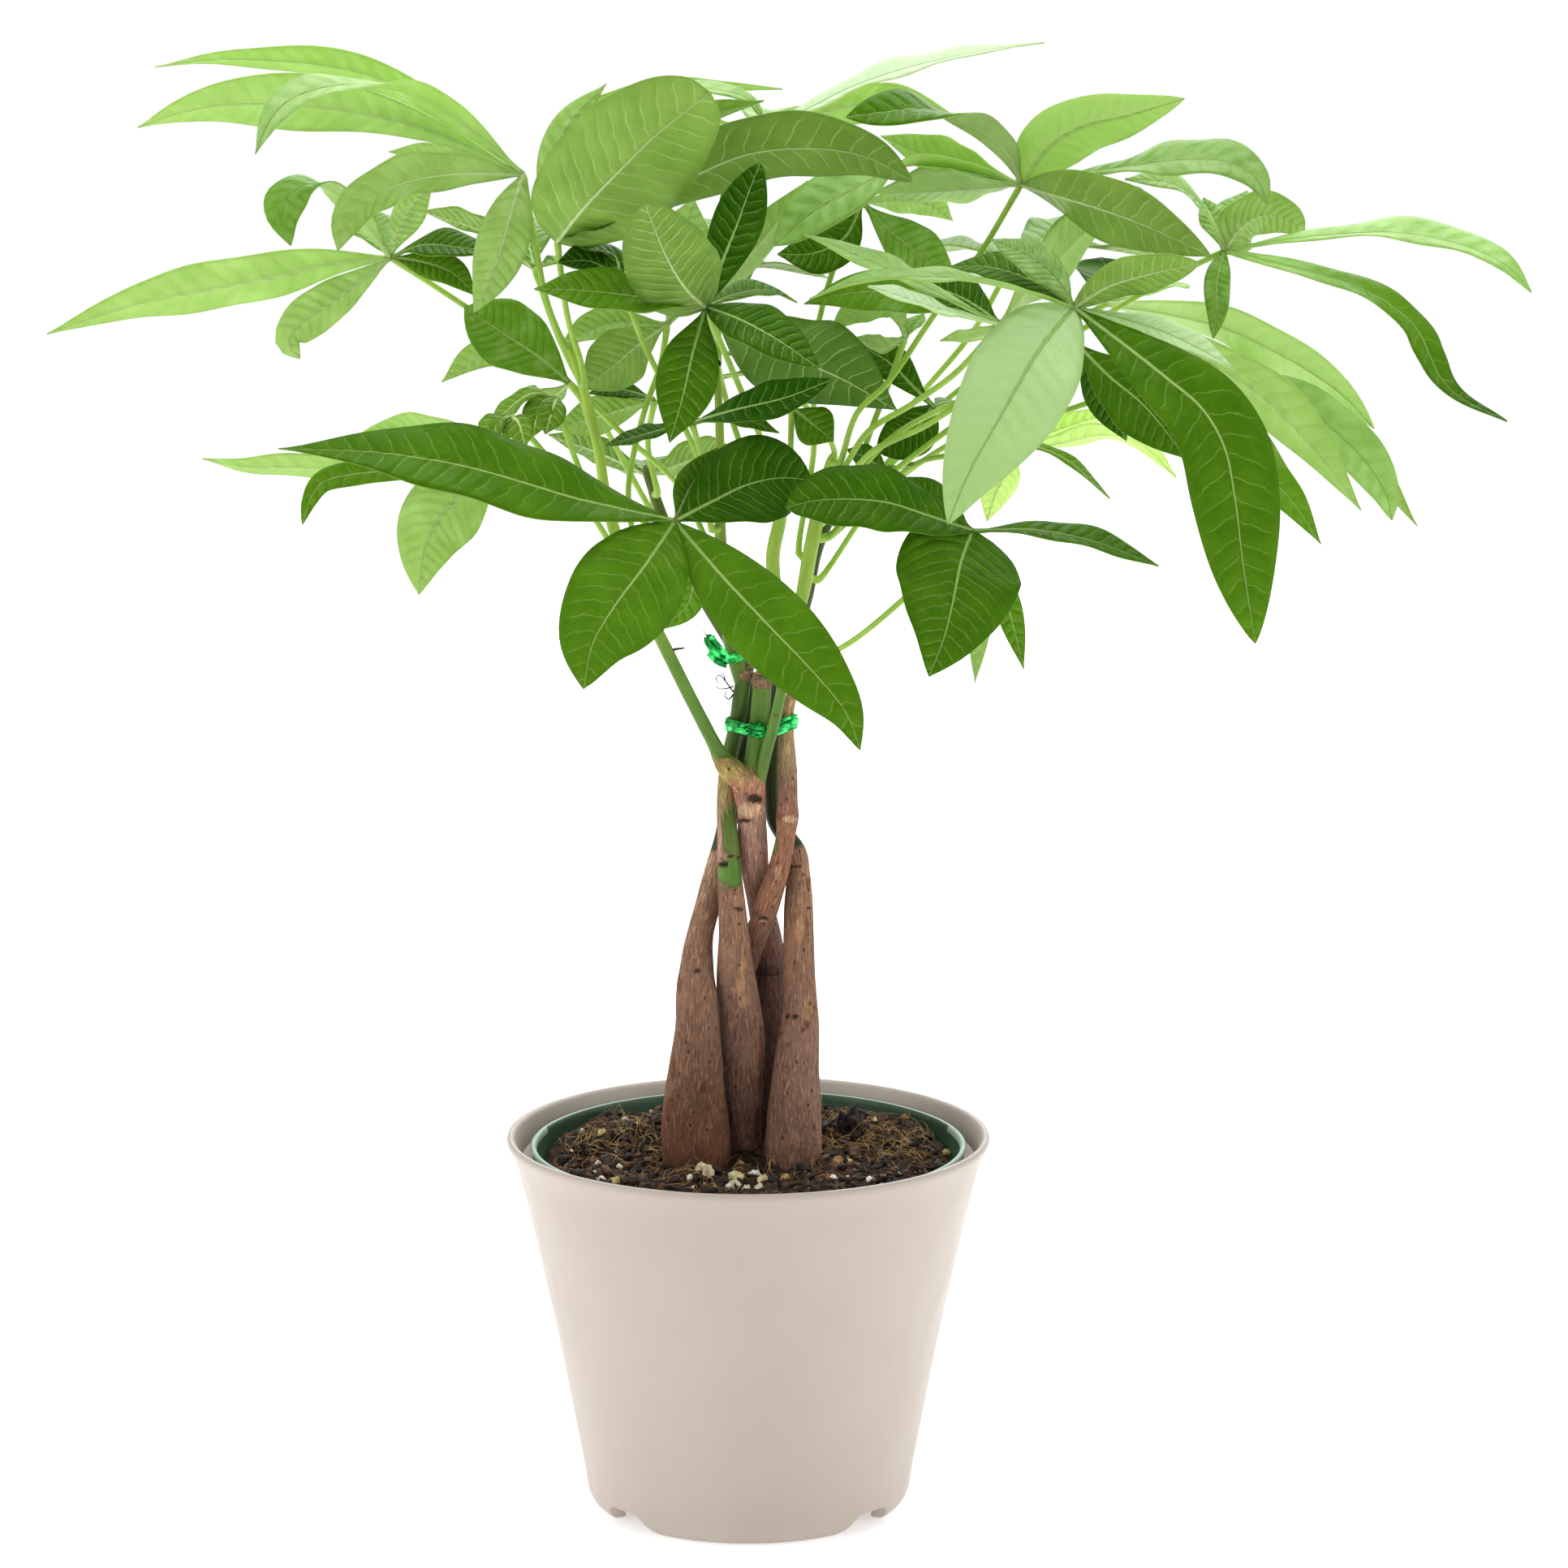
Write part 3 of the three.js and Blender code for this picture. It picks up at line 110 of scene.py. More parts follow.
# The soil's side and bottom, [radius, height] from its edge to the middle of its bottom.
SOIL_SIDE = [[SOIL_RADIUS - 0.8, 98], [44.3, SOIL_FLOOR], [0, SOIL_FLOOR]]
SOIL_RINGS = 110
SOIL_COLUMNS = 260

# Limbs, whose sides are fewer where they are nowhere thicker than a twig.
LIMB_SIDES = 80
TWIG_SIDES = 36
TWIG_RADIUS = 3.5
RING_STEP = 0.7
# How a limb's last rings get smaller, and how far the grain of each limb lies from the next one's.
TIP_SHARES = [0.97, 0.9, 0.78, 0.6, 0.3]
GRAIN_SHIFT = np.array([17.0, 31.0, 53.0])
# A limb's end from the edge to the middle: shares of its radius, and how high each ring lies where it is cut.
END_RINGS = [(0.9, 0.35), (0.68, 0.1), (0.5, 0.3), (0.3, -0.3), (0.02, -0.9)]

# Foil strips. A strip has its lanes of points at these shares of its half width.
FOIL_LANES = [-1, -0.35, 0.35, 1]
FOIL_HALF_WIDTH = 0.85
FOIL_HALF_THICKNESS = 0.12
KNOT_HALF_WIDTH = 0.8
TAIL_HALF_THICKNESS = 0.1
TIE_STEPS = 140

# Blades.
BLADE_THICKNESS = 0.45
ROOT_HALF_WIDTH = 0.75
TIP_HALF_WIDTH = 0.12
BLADE_FOLD = 0.2
WIDEST = 0.57
TAPER = 1.1
EDGE_CROWDING = 1.35
EDGE_RIPPLE = 0.075
EDGE_WAVES = (2.2, 3.6)
RIB_DEPTH = 0.45
RIB_HALF_WIDTH = 0.7
SIDE_VEINS = 13
VEIN_SPACING = (2.4, 6.5)
THROUGH_VEINS = "#a4c45c"
STALK_RADIUS = 0.9
STALK_SIDES = 12
STALK_STEPS = 40

# The limbs of each trunk, from the root to the tip: x and z as seen, depth and radius.
TRUNKS = {
    "trunk_left": [
        [
            [-14.5, 78, 8, 8], [-15.5, 98, 7, 10], [-16, 112, 6, 10.6], [-16.6, 122, 4.5, 10.4],
            [-16.5, 131, 2.5, 9.3], [-16, 141, -0.5, 7.9], [-15.7, 150, -2, 7.1], [-15.9, 161, -1.5, 6.3],
            [-15.6, 170, 1, 5.1], [-14.6, 180, 4.5, 4.1], [-12.2, 190, 7.5, 3.9], [-9.6, 200, 9.5, 3.6],
            [-7.2, 210, 10.5, 3.2], [-5, 222, 12.5, 2.9], [-2, 235, 12.5, 2.6], [1, 247, 11, 2.4],
            [-1, 262, 15, 2.2], [-13, 284, 28, 2], [-24, 305, 38, 1.8], [-31, 325, 44, 1.5],
        ],
    ],
    "trunk_front": [
        [
            [-1.8, 78, 18, 4.5], [-1.6, 98, 17, 5], [-1.5, 112, 15.5, 5.6], [-1.5, 122, 13, 5.4],
            [-1.4, 131, 10, 5.9], [-1.6, 141, 6.5, 6.5], [-2.2, 150, 4.5, 6.8], [-3, 160, 2, 6.5],
            [-4, 170, 0.5, 5.6], [-4.3, 180, 0, 4.7], [-5, 190, 0.5, 4.2], [-5.7, 200, 1, 3.7],
            [-6.1, 210, 1.5, 3.3], [-6.6, 219, 4, 2.9], [-6.4, 228, 6.8, 2.7], [-5.5, 236, 6.6, 2.5],
            [-3.5, 245, 4.2, 2.4], [-2, 255, 3, 2.5], [-0.7, 263, 2.2, 2.4],
        ],
        [
            [-1.4, 257, 2.8, 2.2], [-3.2, 264, 2.6, 2.5], [-5, 271, 3, 2.4], [-7.2, 285, 2, 2],
            [-8.2, 302, 0, 1.8], [-8.4, 318, -2, 1.6], [-8.4, 336, -3, 1.3], [-9, 350, -2, 1.1],
            [-9.4, 357, -1, 1],
        ],
    ],
    "trunk_middle": [
        [
            [9.5, 78, 27, 5], [9.3, 98, 26.5, 6], [9, 112, 26, 6.4], [8.2, 130, 24, 6],
            [7.2, 148, 20.5, 5.5], [7, 160, 19.4, 5.3], [6.6, 170, 18.7, 5], [5.6, 180, 17.6, 4.5],
            [3.9, 190, 12.5, 4.1], [2.3, 200, 8.3, 4.3], [1.5, 210, 5.2, 4.4], [1.2, 219, 2.2, 4.4],
            [0.6, 225, 0, 4.9], [0.2, 229.5, -0.8, 5.2], [1, 233.5, -0.8, 3.6],
        ],
        [
            [1.3, 230, -0.8, 3], [2.4, 238, -0.6, 3], [3.4, 246, -0.6, 3], [4.1, 254, -0.6, 2.95],
            [4.4, 260.3, -0.6, 2.9],
        ],
        [
            [-0.5, 227, -1.2, 3.4], [-4.2, 230.6, -2, 3.9], [-7.7, 234.6, -3, 2.9],
            [-10.1, 239.2, -4.2, 2.2], [-13.8, 246.5, -6, 2.05], [-19.3, 257.5, -9, 2],
            [-25.4, 270, -11, 1.95], [-34, 288, -13, 1.75], [-39.6, 303, -14, 1.9], [-42.6, 314, -14, 1.65],
            [-45, 330, -13, 1.55], [-48.4, 345, -12, 1.45], [-52, 357, -12, 1.35], [-54.5, 363.5, -12, 1.2],
        ],
        [
            [3.6, 228, -2.4, 1.8], [5.4, 236, -5.2, 1.8], [7.8, 245, -7.2, 1.7], [10.4, 257, -9, 1.65],
            [12.6, 270, -10, 1.65], [15, 279, -11, 1.75], [16.9, 287, -12, 2.1], [18.8, 298, -13, 2.2],
            [20.6, 307, -13.5, 2.2], [23, 318, -14, 1.9], [26, 329, -14, 1.5],
        ],
    ],
    "trunk_crossing": [
        [
            [-12, 78, 28, 5], [-11.5, 98, 28, 5.6], [-11, 112, 28, 5.8], [-9.6, 131, 25, 5.3],
            [-7.5, 150, 20, 4.9], [-4.6, 161, 16.5, 4.5], [-1, 171, 12.2, 4.1], [2.4, 180, 7.8, 3.8],
            [4.4, 185, 5, 3.8], [5.9, 190, 2.8, 3.9], [9.2, 200, 1.5, 3.4], [10.6, 206, 1, 3.1],
            [11.6, 212, 0.8, 3], [12, 217, 1, 3.5], [12, 222, 1.4, 3.2], [12, 231, 2, 3],
            [11.6, 241, 2.8, 2.5], [12.2, 250, 3, 1.9], [13.8, 257, 3, 1.6], [12.6, 270, 3, 1.7],
            [8.8, 285, 2, 2], [7.6, 297, 1, 2.1], [9.8, 309, 0, 2], [10.4, 320, -4, 1.6],
            [8.6, 331, -8, 1.2],
        ],
    ],
    "trunk_right": [
        [
            [12.5, 78, 9, 7], [13.3, 98, 8, 8.6], [13.7, 110, 7, 8.9], [14, 121, 6, 8.5],
            [14.5, 131, 5, 7.7], [15, 141, 4.5, 6.9], [15.6, 150, 4, 6], [15.8, 160, 3.5, 5.4],
            [15.6, 170, 3, 5], [15.5, 180, 3.5, 4.7], [15.5, 190, 5, 4.4], [15.4, 198, 7.8, 3.8],
            [14.8, 205.5, 10, 3.2], [11.4, 211, 12.4, 3], [8.6, 216, 13, 2.9], [7.7, 223, 13, 2.7],
            [7.6, 235, 12, 2.6], [8.4, 247, 10.6, 2.4], [10.4, 262, 13, 2.4], [17.2, 284, 20, 2.4],
            [20.4, 299, 27, 2.3], [26, 312, 34, 1.9], [33, 324, 40, 1.5],
        ],
    ],
}

# Each leaf: the trunk, limb and height at which it grows, then its stalk, then its leaflets. A leaflet has
# its width, its face's turn, its twist, its route, and its widest place and taper if they're unusual.
LEAVES = {
    "leaf_upper_left": [
        ["trunk_middle", 2, 362],
        [[-60, 374, -16], [-63.5, 392, -20], [-67, 413, -18]],
        [20, -56, 0, [[-84, 421.8, -13], [-100, 427.8, -14], [-117, 432, -16], [-136, 434.2, -18],
            [-156, 434.2, -20], [-170, 431.4, -21], [-182, 427, -22]], 0.6],
        [13, -50, 0, [[-84, 426, -4], [-98, 436, 0], [-112, 442.8, 3], [-128, 446.2, 5], [-145, 447.4, 7],
            [-160, 447.4, 8.5], [-176.5, 445, 10]], 0.5, 1.3],
        [19, -75, 130, [[-80, 424.5, -19], [-92, 433.5, -22], [-104, 438.8, -27], [-116, 440.2, -32],
            [-128, 438.8, -37], [-137, 435, -40], [-142.5, 429, -42], [-147, 419, -44]]],
        [11, -60, 0, [[-84, 416.8, -6], [-96, 418.8, 4], [-107, 419.8, 10]]],
        [21, -58, 15, [[-88, 413.6, -24], [-103, 411.3, -32], [-114, 405.8, -37], [-120.2, 398.5, -40],
            [-122.8, 390, -42]], 0.55, 0.9],
        [15.5, -88, 0, [[-70.3, 403, -24], [-73.5, 392, -24], [-77.5, 381, -23], [-82, 371.5, -22]],
            0.5, 0.9],
    ],
    "leaf_upper_middle": [
        ["trunk_middle", 2, 350],
        [[-50, 356, -20], [-54, 370, -23], [-57, 393, -24]],
        [38, -86, 0, [[-50, 402, -40], [-39.5, 413, -52], [-27, 425, -66], [-11, 437.5, -76]], 0.5, 0.42],
        [25, -60, 0, [[-38, 402.5, -20], [-20, 411, -17], [0, 419.5, -16], [20, 421.3, -18],
            [36, 418.5, -21], [49.5, 411, -24]], 0.62, 0.8],
        [18, -60, 90, [[-48, 423, 0], [-32, 434.5, 8], [-12, 438.6, 12], [1, 435, 12], [5.5, 427.5, 12]]],
        [16, -30, 0, [[-53, 427, 12], [-42, 434.5, 20], [-26, 438.3, 26], [-8, 438.8, 30],
            [10.5, 438.5, 34]]],
        [11, -80, 0, [[-58, 414, -4], [-53, 428, 4], [-42, 440, 12]]],
        [14, 20, 0, [[-46, 396.8, -34], [-34, 401.5, -42]]],
        [18, -40, 0, [[-35, 414, -6], [-14, 430, -2], [5, 435, 0]]],
    ],
    "leaf_crown": [
        ["trunk_front", 1, 356],
        [[-8.5, 372, 12], [-5, 395, 32], [2, 426, 55]],
        [18, 13, 0, [[16, 431.5, 51], [30, 438.8, 48], [45, 444.3, 44], [60, 448, 40], [75, 450.6, 36],
            [88.5, 452.2, 32]], 0.48, 1.2],
        [15.5, -62, 0, [[18, 430.5, 60], [30, 433.5, 64], [45, 434, 68], [62, 430.5, 72]]],
        [14, 78, 0, [[-2, 405, 57], [-1, 379, 64]], 0.57, 0.8],
        [22, -20, 0, [[-14, 430, 72], [-32, 430, 96], [-42, 424, 118]]],
        [24, 0, 0, [[6, 432, 88], [10, 431, 118], [12, 420, 146]]],
    ],
    "leaf_upper_right": [
        ["trunk_middle", 3, 326],
        [[33, 341, -18], [42, 350, -15], [57, 372, -6], [69, 388, 0], [82, 410, 5]],
        [19.5, -76, 0, [[90.5, 421.5, 0], [100, 427.3, -4], [114, 430.8, -9], [130.5, 435.6, -14]],
            0.36, 0.8],
        [21, -14, 62, [[98, 413, -8], [116, 416, -19], [132, 417.8, -27], [145, 416.6, -33],
            [152.6, 411.4, -36], [155.6, 404, -37]], 0.6, 0.9],
        [20.5, -72, 0, [[95, 406.2, -16], [107, 402.5, -26], [119, 398, -34], [129, 393.5, -40],
            [139, 388.5, -44]], 0.52, 0.85],
        [24, -30, 0, [[60, 409, 17], [38, 407.5, 20]]],
        [17, -56, 0, [[68, 414.5, 20], [54, 419, 26], [40, 424.5, 30]]],
        [20, -62, 125, [[77.5, 420, -3], [70, 426.5, -8], [61, 431, -14], [51, 433, -19], [41, 431.8, -23],
            [29.5, 430, -27]], 0.6, 0.85],
        [24, -50, 110, [[66, 414.5, 12], [48, 416.5, 14], [33, 409.5, 12], [20, 402, 9], [8, 391.5, 6]],
            0.6, 0.8],
        [20, 20, 0, [[98, 412, 34], [112, 408, 64], [122, 398, 86]]],
    ],
    "leaf_front_middle": [
        ["trunk_crossing", 0, 326],
        [[1, 341, -24], [-5, 355, -36], [-12.5, 373, -50]],
        [27, -88, 0, [[-18.5, 379, -62], [-24.5, 389, -76], [-30.5, 404, -90]], 0.45, 0.55],
        [15, 78, 0, [[-7, 388, -46], [-3, 398, -43], [0.6, 408, -40], [4, 416.5, -38]], 0.58, 0.75],
        [20, 32, 0, [[-32, 376.5, -60], [-50, 378.5, -66], [-64, 378.5, -68]]],
        [18, 80, 0, [[-16.5, 359, -64], [-19.5, 346, -69], [-23.5, 332, -70]]],
        [17, 42, 0, [[-2, 369.5, -62], [9, 363.5, -70], [21.5, 354.5, -76]], 0.5, 0.9],
        [30, -72, 0, [[8, 360.5, -26], [27, 352.6, -7.2], [45, 342, 2.6]]],
        [12, 16, 0, [[-4, 377, -41], [6, 378.5, -34], [15, 374.5, -30]]],
    ],
    "leaf_far_right": [
        ["trunk_middle", 3, 316],
        [[44, 334, -6], [72, 349, 6], [100, 366, 16], [125, 381, 16], [143, 390, 10]],
        [22, 12, 0, [[163, 393.6, 8], [178, 395.3, 7], [193, 396, 6], [207, 394.2, 5], [219, 390.5, 3],
            [228, 385.5, 1], [235.3, 377.5, 0]], 0.62, 0.9],
        [12, 24, -10, [[158, 386.4, 2], [172, 383, -1], [185, 378.6, -4], [194.5, 373, -7],
            [201.5, 366.4, -9], [205.3, 358.5, -11], [209.2, 351, -13], [214.5, 346, -14.5],
            [229, 338.5, -16]], 0.5, 0.7],
        [18, -62, 0, [[148, 397.5, 14], [154.5, 401, 18], [161, 399.5, 20], [167, 396, 22]], 0.4, 0.6],
        [14, 25, 0, [[138, 401, 4], [128, 410, -2], [113, 411.5, -8]]],
        [10, 20, 0, [[140, 399, 18], [136.5, 406, 24]]],
        [8, 78, 0, [[141, 381, -1], [141, 372, -4], [140, 363.5, -6]], 0.5, 0.8],
        [18, 10, 0, [[146.5, 399, 34], [149.5, 408, 54]]],
    ],
    "leaf_front_right": [
        ["trunk_middle", 3, 311],
        [[36, 328, -26], [55, 338, -38], [80, 356, -52], [98, 373, -62]],
        [31, 80, 0, [[88, 360.5, -78], [76.3, 340, -92], [66.5, 322, -100], [60.5, 307, -103]], 0.42, 0.85],
        [26, 66, 0, [[113, 362, -76], [126.5, 351.5, -88], [137, 342.5, -93], [143.8, 331, -97],
            [147.3, 315, -100], [150, 295, -101], [154, 270.5, -98]], 0.58, 0.8],
        [15, 14, 0, [[112, 369.8, -66], [126, 365.5, -72], [138, 359.5, -75], [147, 354, -76]]],
        [20, -40, 0, [[120, 366, -50], [140, 356, -44], [155, 346.5, -41], [170, 331.5, -39],
            [185.5, 311.3, -38]]],
        [15, 26, 0, [[92, 382, -58], [85, 388, -56], [73, 393.5, -52]]],
        [14, -62, 0, [[108, 379.5, -64], [119, 383, -70], [135.5, 386.5, -78]], 0.5, 0.7],
        [16, 4, 0, [[85, 377.5, -71], [68, 381.5, -77], [50, 382.5, -81], [33, 381, -83],
            [18.5, 375.5, -84]]],
        [15, 24, 0, [[85, 381.5, -54], [72, 385.5, -49], [60, 385, -46]]],
        [13, 26, 0, [[115, 365, -54], [129, 358, -46], [140, 350.5, -42]]],
    ],
    "leaf_inner_right": [
        ["trunk_middle", 3, 321],
        [[36, 335, -22], [50, 344, -28], [63, 353.5, -33], [76, 368, -38]],
        [16, 10, 0, [[60, 376, -42], [44, 384, -43], [30, 390, -41], [17, 395, -38]]],
        [18, 16, 0, [[62, 371.5, -52], [48, 376, -58], [36, 379.5, -60]]],
        [14, 42, 0, [[68, 374, -33], [60, 378, -28], [50, 379.5, -25]]],
        [24, -58, 0, [[84, 379, -22], [93, 388, -8], [102, 397, 1], [112, 402, 6]]],
        [8, -42, 0, [[68, 364.5, -24], [58, 363, -14]]],
        [15, 60, 0, [[62, 375, -26], [44, 378, -20], [28, 377, -16], [17, 374, -14]]],
    ],
    "leaf_far_left": [
        ["trunk_front", 1, 300],
        [[-20, 318, 5], [-38, 335, 8], [-60, 356, 9], [-82, 371.5, 6], [-107, 388, 0]],
        [18.5, -58, 0, [[-125, 386.3, 2], [-143, 382.5, 4], [-163, 378.6, 5], [-181, 375, 6],
            [-195, 370.6, 6], [-210.5, 365, 6]], 0.48],
        [13.5, -80, 0, [[-117, 380.5, -5], [-126.5, 373.8, -9], [-134.5, 367.8, -11.5], [-138, 362.5, -12.5],
            [-134.5, 357.5, -13]], 0.6, 0.8],
        [17, -50, 85, [[-114, 397.5, -6], [-120.5, 405.5, -9], [-128.5, 410.5, -13], [-136.5, 407.5, -18],
            [-139, 400.5, -22], [-136.8, 391.5, -24]], 0.6, 0.9],
        [10, -80, 0, [[-103.5, 397, 8], [-99.5, 404, 14], [-94, 411, 20]]],
        [15, 24, 0, [[-97, 392, -6], [-86, 391.3, -9], [-76, 389.5, -11]]],
        [11, 50, 0, [[-95, 386, -9], [-88, 383, -12], [-81.5, 376.5, -14]]],
        [16, 10, 0, [[-111, 396, 24], [-116, 404, 46]]],
    ],
    "leaf_front_low": [
        ["trunk_front", 1, 284],
        [[-10.5, 291, -18], [-16, 300, -46], [-22, 308, -70]],
        [29, 36, 0, [[-40, 312.5, -78], [-52, 315.5, -82], [-64, 319.3, -85], [-76, 323, -88],
            [-88, 326, -90], [-100, 328, -91], [-112, 329.4, -92], [-141.5, 330.2, -93]], 0.47, 1.25],
        [31.5, 80, 0, [[-31.5, 294, -86], [-40, 282.5, -93], [-47, 270.5, -98], [-50, 256.5, -102]],
            0.5, 0.85],
        [24, 76, 0, [[-7.5, 291, -84], [6.5, 276, -93], [21, 260.5, -98], [30, 249, -99],
            [34.2, 237.5, -99]], 0.5, 0.9],
        [28, 64, 0, [[-11, 314, -61], [0, 319.5, -54], [10, 321.5, -49], [19.5, 320.5, -44]], 0.62, 0.75],
        [10, 68, 0, [[-17, 319, -56], [-9, 330.5, -48]]],
        [9, 80, 0, [[-16.5, 292, -66], [-18.5, 282, -64], [-27, 274.5, -62]]],
    ],
    "leaf_inner_left": [
        ["trunk_middle", 2, 338],
        [[-50, 345, -4], [-53.5, 350, -2]],
        [22, 60, 0, [[-62, 357.5, -2], [-72, 364.5, 0], [-85, 373, 2.6]], 0.6, 0.8],
        [11, -60, 0, [[-68, 357, 8], [-80, 358.7, 13], [-92, 350.5, 17]]],
        [9, -50, 0, [[-60, 346, 6], [-69, 348, 13]]],
    ],
    "leaf_low_right": [
        ["trunk_middle", 3, 266],
        [[28, 269, -26], [47, 284, -42], [68, 305, -52]],
        [37, 85, 0, [[64.5, 295, -66], [62.3, 283.5, -75], [59.5, 272, -82], [55, 260.3, -84]], 0.37, 0.9],
        [14.5, 18, 0, [[85, 305.7, -56], [96, 304.3, -58], [107, 301.5, -59], [124.5, 294.3, -60]]],
        [24, 42, 0, [[54, 310.3, -59], [42, 314.2, -62], [30, 315.2, -64], [20, 314.5, -65],
            [11.5, 312.3, -66]], 0.58, 0.6],
        [14, 46, 0, [[57, 313, -44], [44, 321.5, -36]]],
        [8, 70, 0, [[74, 297, -48], [78, 285, -47], [81.3, 273, -46], [83.8, 262.5, -46]]],
        [7, -84, 0, [[71, 287, -42], [70, 272, -38], [69, 258.3, -36]], 0.6],
    ],
    "leaf_shaded_right": [
        ["trunk_middle", 3, 303],
        [[38, 318, -8], [58, 334, -10], [80, 350, -20], [98, 363, -28]],
        [22, 60, 0, [[108, 353, -31], [120, 343, -35], [132.5, 327, -38]]],
        [12, 70, 0, [[107, 347, -22], [114.3, 332.5, -20]]],
    ],
    "leaf_rear_right": [
        ["trunk_right", 0, 318],
        [[60, 345, 48], [85, 362, 44], [108, 374, 38]],
        [16, -52, 0, [[128, 371, 36], [144, 367, 32], [157, 361, 29], [168.5, 354.5, 26], [179.5, 346.5, 24],
            [189, 336.3, 22]], 0.5, 0.8],
        [20, 20, 0, [[120, 380, 66], [132, 380, 92]]],
        [20, 0, 0, [[108, 384, 70], [106, 388, 98]]],
    ],
    "leaf_low_far_right": [
        ["trunk_right", 0, 308],
        [[62, 332, 26], [95, 341.5, 16], [116, 349, 10], [132, 354, 8]],
        [17, 50, 0, [[148, 351, 6], [162, 346.5, 4], [175, 337.5, 2], [186, 327, -2], [192.5, 317, -4],
            [194.8, 308.3, -6]], 0.62, 0.8],
        [10, -50, 0, [[160, 346, 14], [186, 328, 18], [202.5, 306.5, 20]]],
        [12, 70, 0, [[148, 338, -4], [158, 321.5, -9], [165, 313.5, -12], [173.5, 301, -14]]],
        [16, 20, 0, [[146, 352, 34], [158, 340, 58]]],
    ],
    "leaf_young_right": [
        ["trunk_right", 0, 303],
        [[50, 325, 16], [60, 328, 8], [72, 329, 4]],
        [12, -42, 0, [[88, 334.5, 4], [101, 339, 3], [112, 341.5, 2]]],
        [12, -36, 0, [[93, 332, -3], [107, 335, -6], [118, 332.5, -8], [129.5, 321.5, -9]]],
        [11, -84, 0, [[77, 323, -2], [74.5, 316, -5], [72.3, 308, -8]], 0.45, 0.9],
        [8, 8, 0, [[86, 331, -10], [97, 326.5, -14], [109.5, 315, -17]]],
    ],
    "leaf_low_left": [
        ["trunk_left", 0, 305],
        [[-45, 318, 32], [-64, 324, 24], [-78, 325, 18]],
        [20, -56, 0, [[-88, 331.5, 22], [-104, 333.5, 27], [-121, 332, 32]], 0.45],
        [12, -50, 0, [[-100, 324.5, 20], [-120, 324.2, 21], [-138, 325, 22], [-152, 325, 22],
            [-164.5, 327.2, 22]], 0.6],
        [8, 60, 0, [[-100, 323.5, 10], [-118, 322.6, 6], [-128.6, 319.8, 4], [-132.7, 313.5, 3],
            [-134.6, 307, 2]], 0.65, 0.8],
        [24, -85, 0, [[-88, 315.5, 10], [-95.5, 305.5, 6], [-98.5, 296, 3], [-99.6, 285.5, 0]], 0.42, 0.9],
        [20, 10, 0, [[-88, 330, 44], [-96, 324, 70]]],
    ],
    "leaf_rear_low": [
        ["trunk_left", 0, 296],
        [[-27, 308, 52], [-30, 322, 64]],
        [13, -50, 0, [[-45, 329.5, 68], [-60, 334.5, 72]]],
        [17, -50, 0, [[-18, 327, 68], [-5, 331, 74]]],
        [18, 0, 0, [[-32, 327, 92], [-36, 322, 118]]],
    ],
    "leaf_young_left_outer": [
        ["trunk_middle", 2, 301],
        [[-47, 310, -24], [-59, 326, -33], [-71, 340, -38]],
        [9, 20, 0, [[-76, 338.5, -41], [-80.5, 333, -43]]],
        [8, 60, 0, [[-74, 336, -43], [-73.5, 331, -45]]],
        [8, 70, 0, [[-69, 338, -43], [-67, 330.5, -45]]],
    ],
    "leaf_young_left_inner": [
        ["trunk_middle", 2, 312],
        [[-49.5, 321, -20], [-54, 333, -22], [-57.5, 345.5, -22]],
        [10, 14, 0, [[-65, 347, -24], [-73, 341.5, -25], [-78, 336, -26]]],
        [9, 50, 0, [[-62, 344, -27], [-65, 333.5, -29]]],
        [9, 70, 0, [[-58.5, 343, -28], [-61, 334.5, -31]]],
    ],
    "leaf_rear_left_small": [
        ["trunk_left", 0, 316],
        [[-30, 331, 34], [-28, 345, 26]],
        [13, -70, 0, [[-42, 341, 24], [-58, 336, 22]]],
        [8, 36, 0, [[-37, 348, 20], [-48, 347, 17]]],
    ],
    "leaf_rear_middle": [
        ["trunk_middle", 2, 297],
        [[-36, 318, -8], [-31.5, 340, -1], [-26, 356, 9], [-24, 368, 14]],
        [20, -62, 0, [[-33, 362, 13], [-40, 356, 12], [-50, 348, 11]]],
        [13, -50, 0, [[-42, 368.5, 22], [-56, 362, 26]]],
        [20, -72, 0, [[-21, 384, 24], [-16, 406, 36]]],
        [16, -60, 0, [[2, 391, 52], [18, 411, 70]]],
    ],
    "leaf_middle_low": [
        ["trunk_front", 1, 312],
        [[-12.5, 324, -20], [-16.8, 338, -30]],
        [13, 50, 0, [[-4, 342, -41], [12, 346, -47], [26.5, 351.5, -50]]],
        [9, 26, 0, [[-4, 340, -30], [9.5, 335, -30]]],
        [10, 20, 0, [[-30, 335, -32], [-43, 331, -32]]],
    ],
    "leaf_middle_small": [
        ["trunk_crossing", 0, 314],
        [[13, 327, -7], [13.4, 342.5, -5]],
        [13, 70, 0, [[18.5, 338.5, -8], [26, 332.5, -11]]],
        [12, -50, 0, [[20, 348, 6], [32, 346, 14]]],
        [12, 10, 0, [[6, 346, 8], [0, 346, 20]]],
    ],
    "leaf_twig_right": [
        ["trunk_middle", 3, 307],
        [[32, 322, 4], [38, 338, 12], [44, 354, 8], [47.5, 364, 4]],
        [9, -45, 0, [[41, 361.5, 4], [33, 364, 6]]],
        [12, -50, 0, [[44, 372.5, 5], [34, 372, 7], [25, 366.5, 9]]],
        [6, 10, 0, [[50, 368, 8], [53, 371, 13]]],
    ],
    "leaf_inner_middle": [
        ["trunk_right", 0, 315],
        [[44, 326, 34], [52, 336, 22], [56, 343, 14]],
        [12, 50, 0, [[50, 349, 14], [42, 357, 17], [28, 364, 20]]],
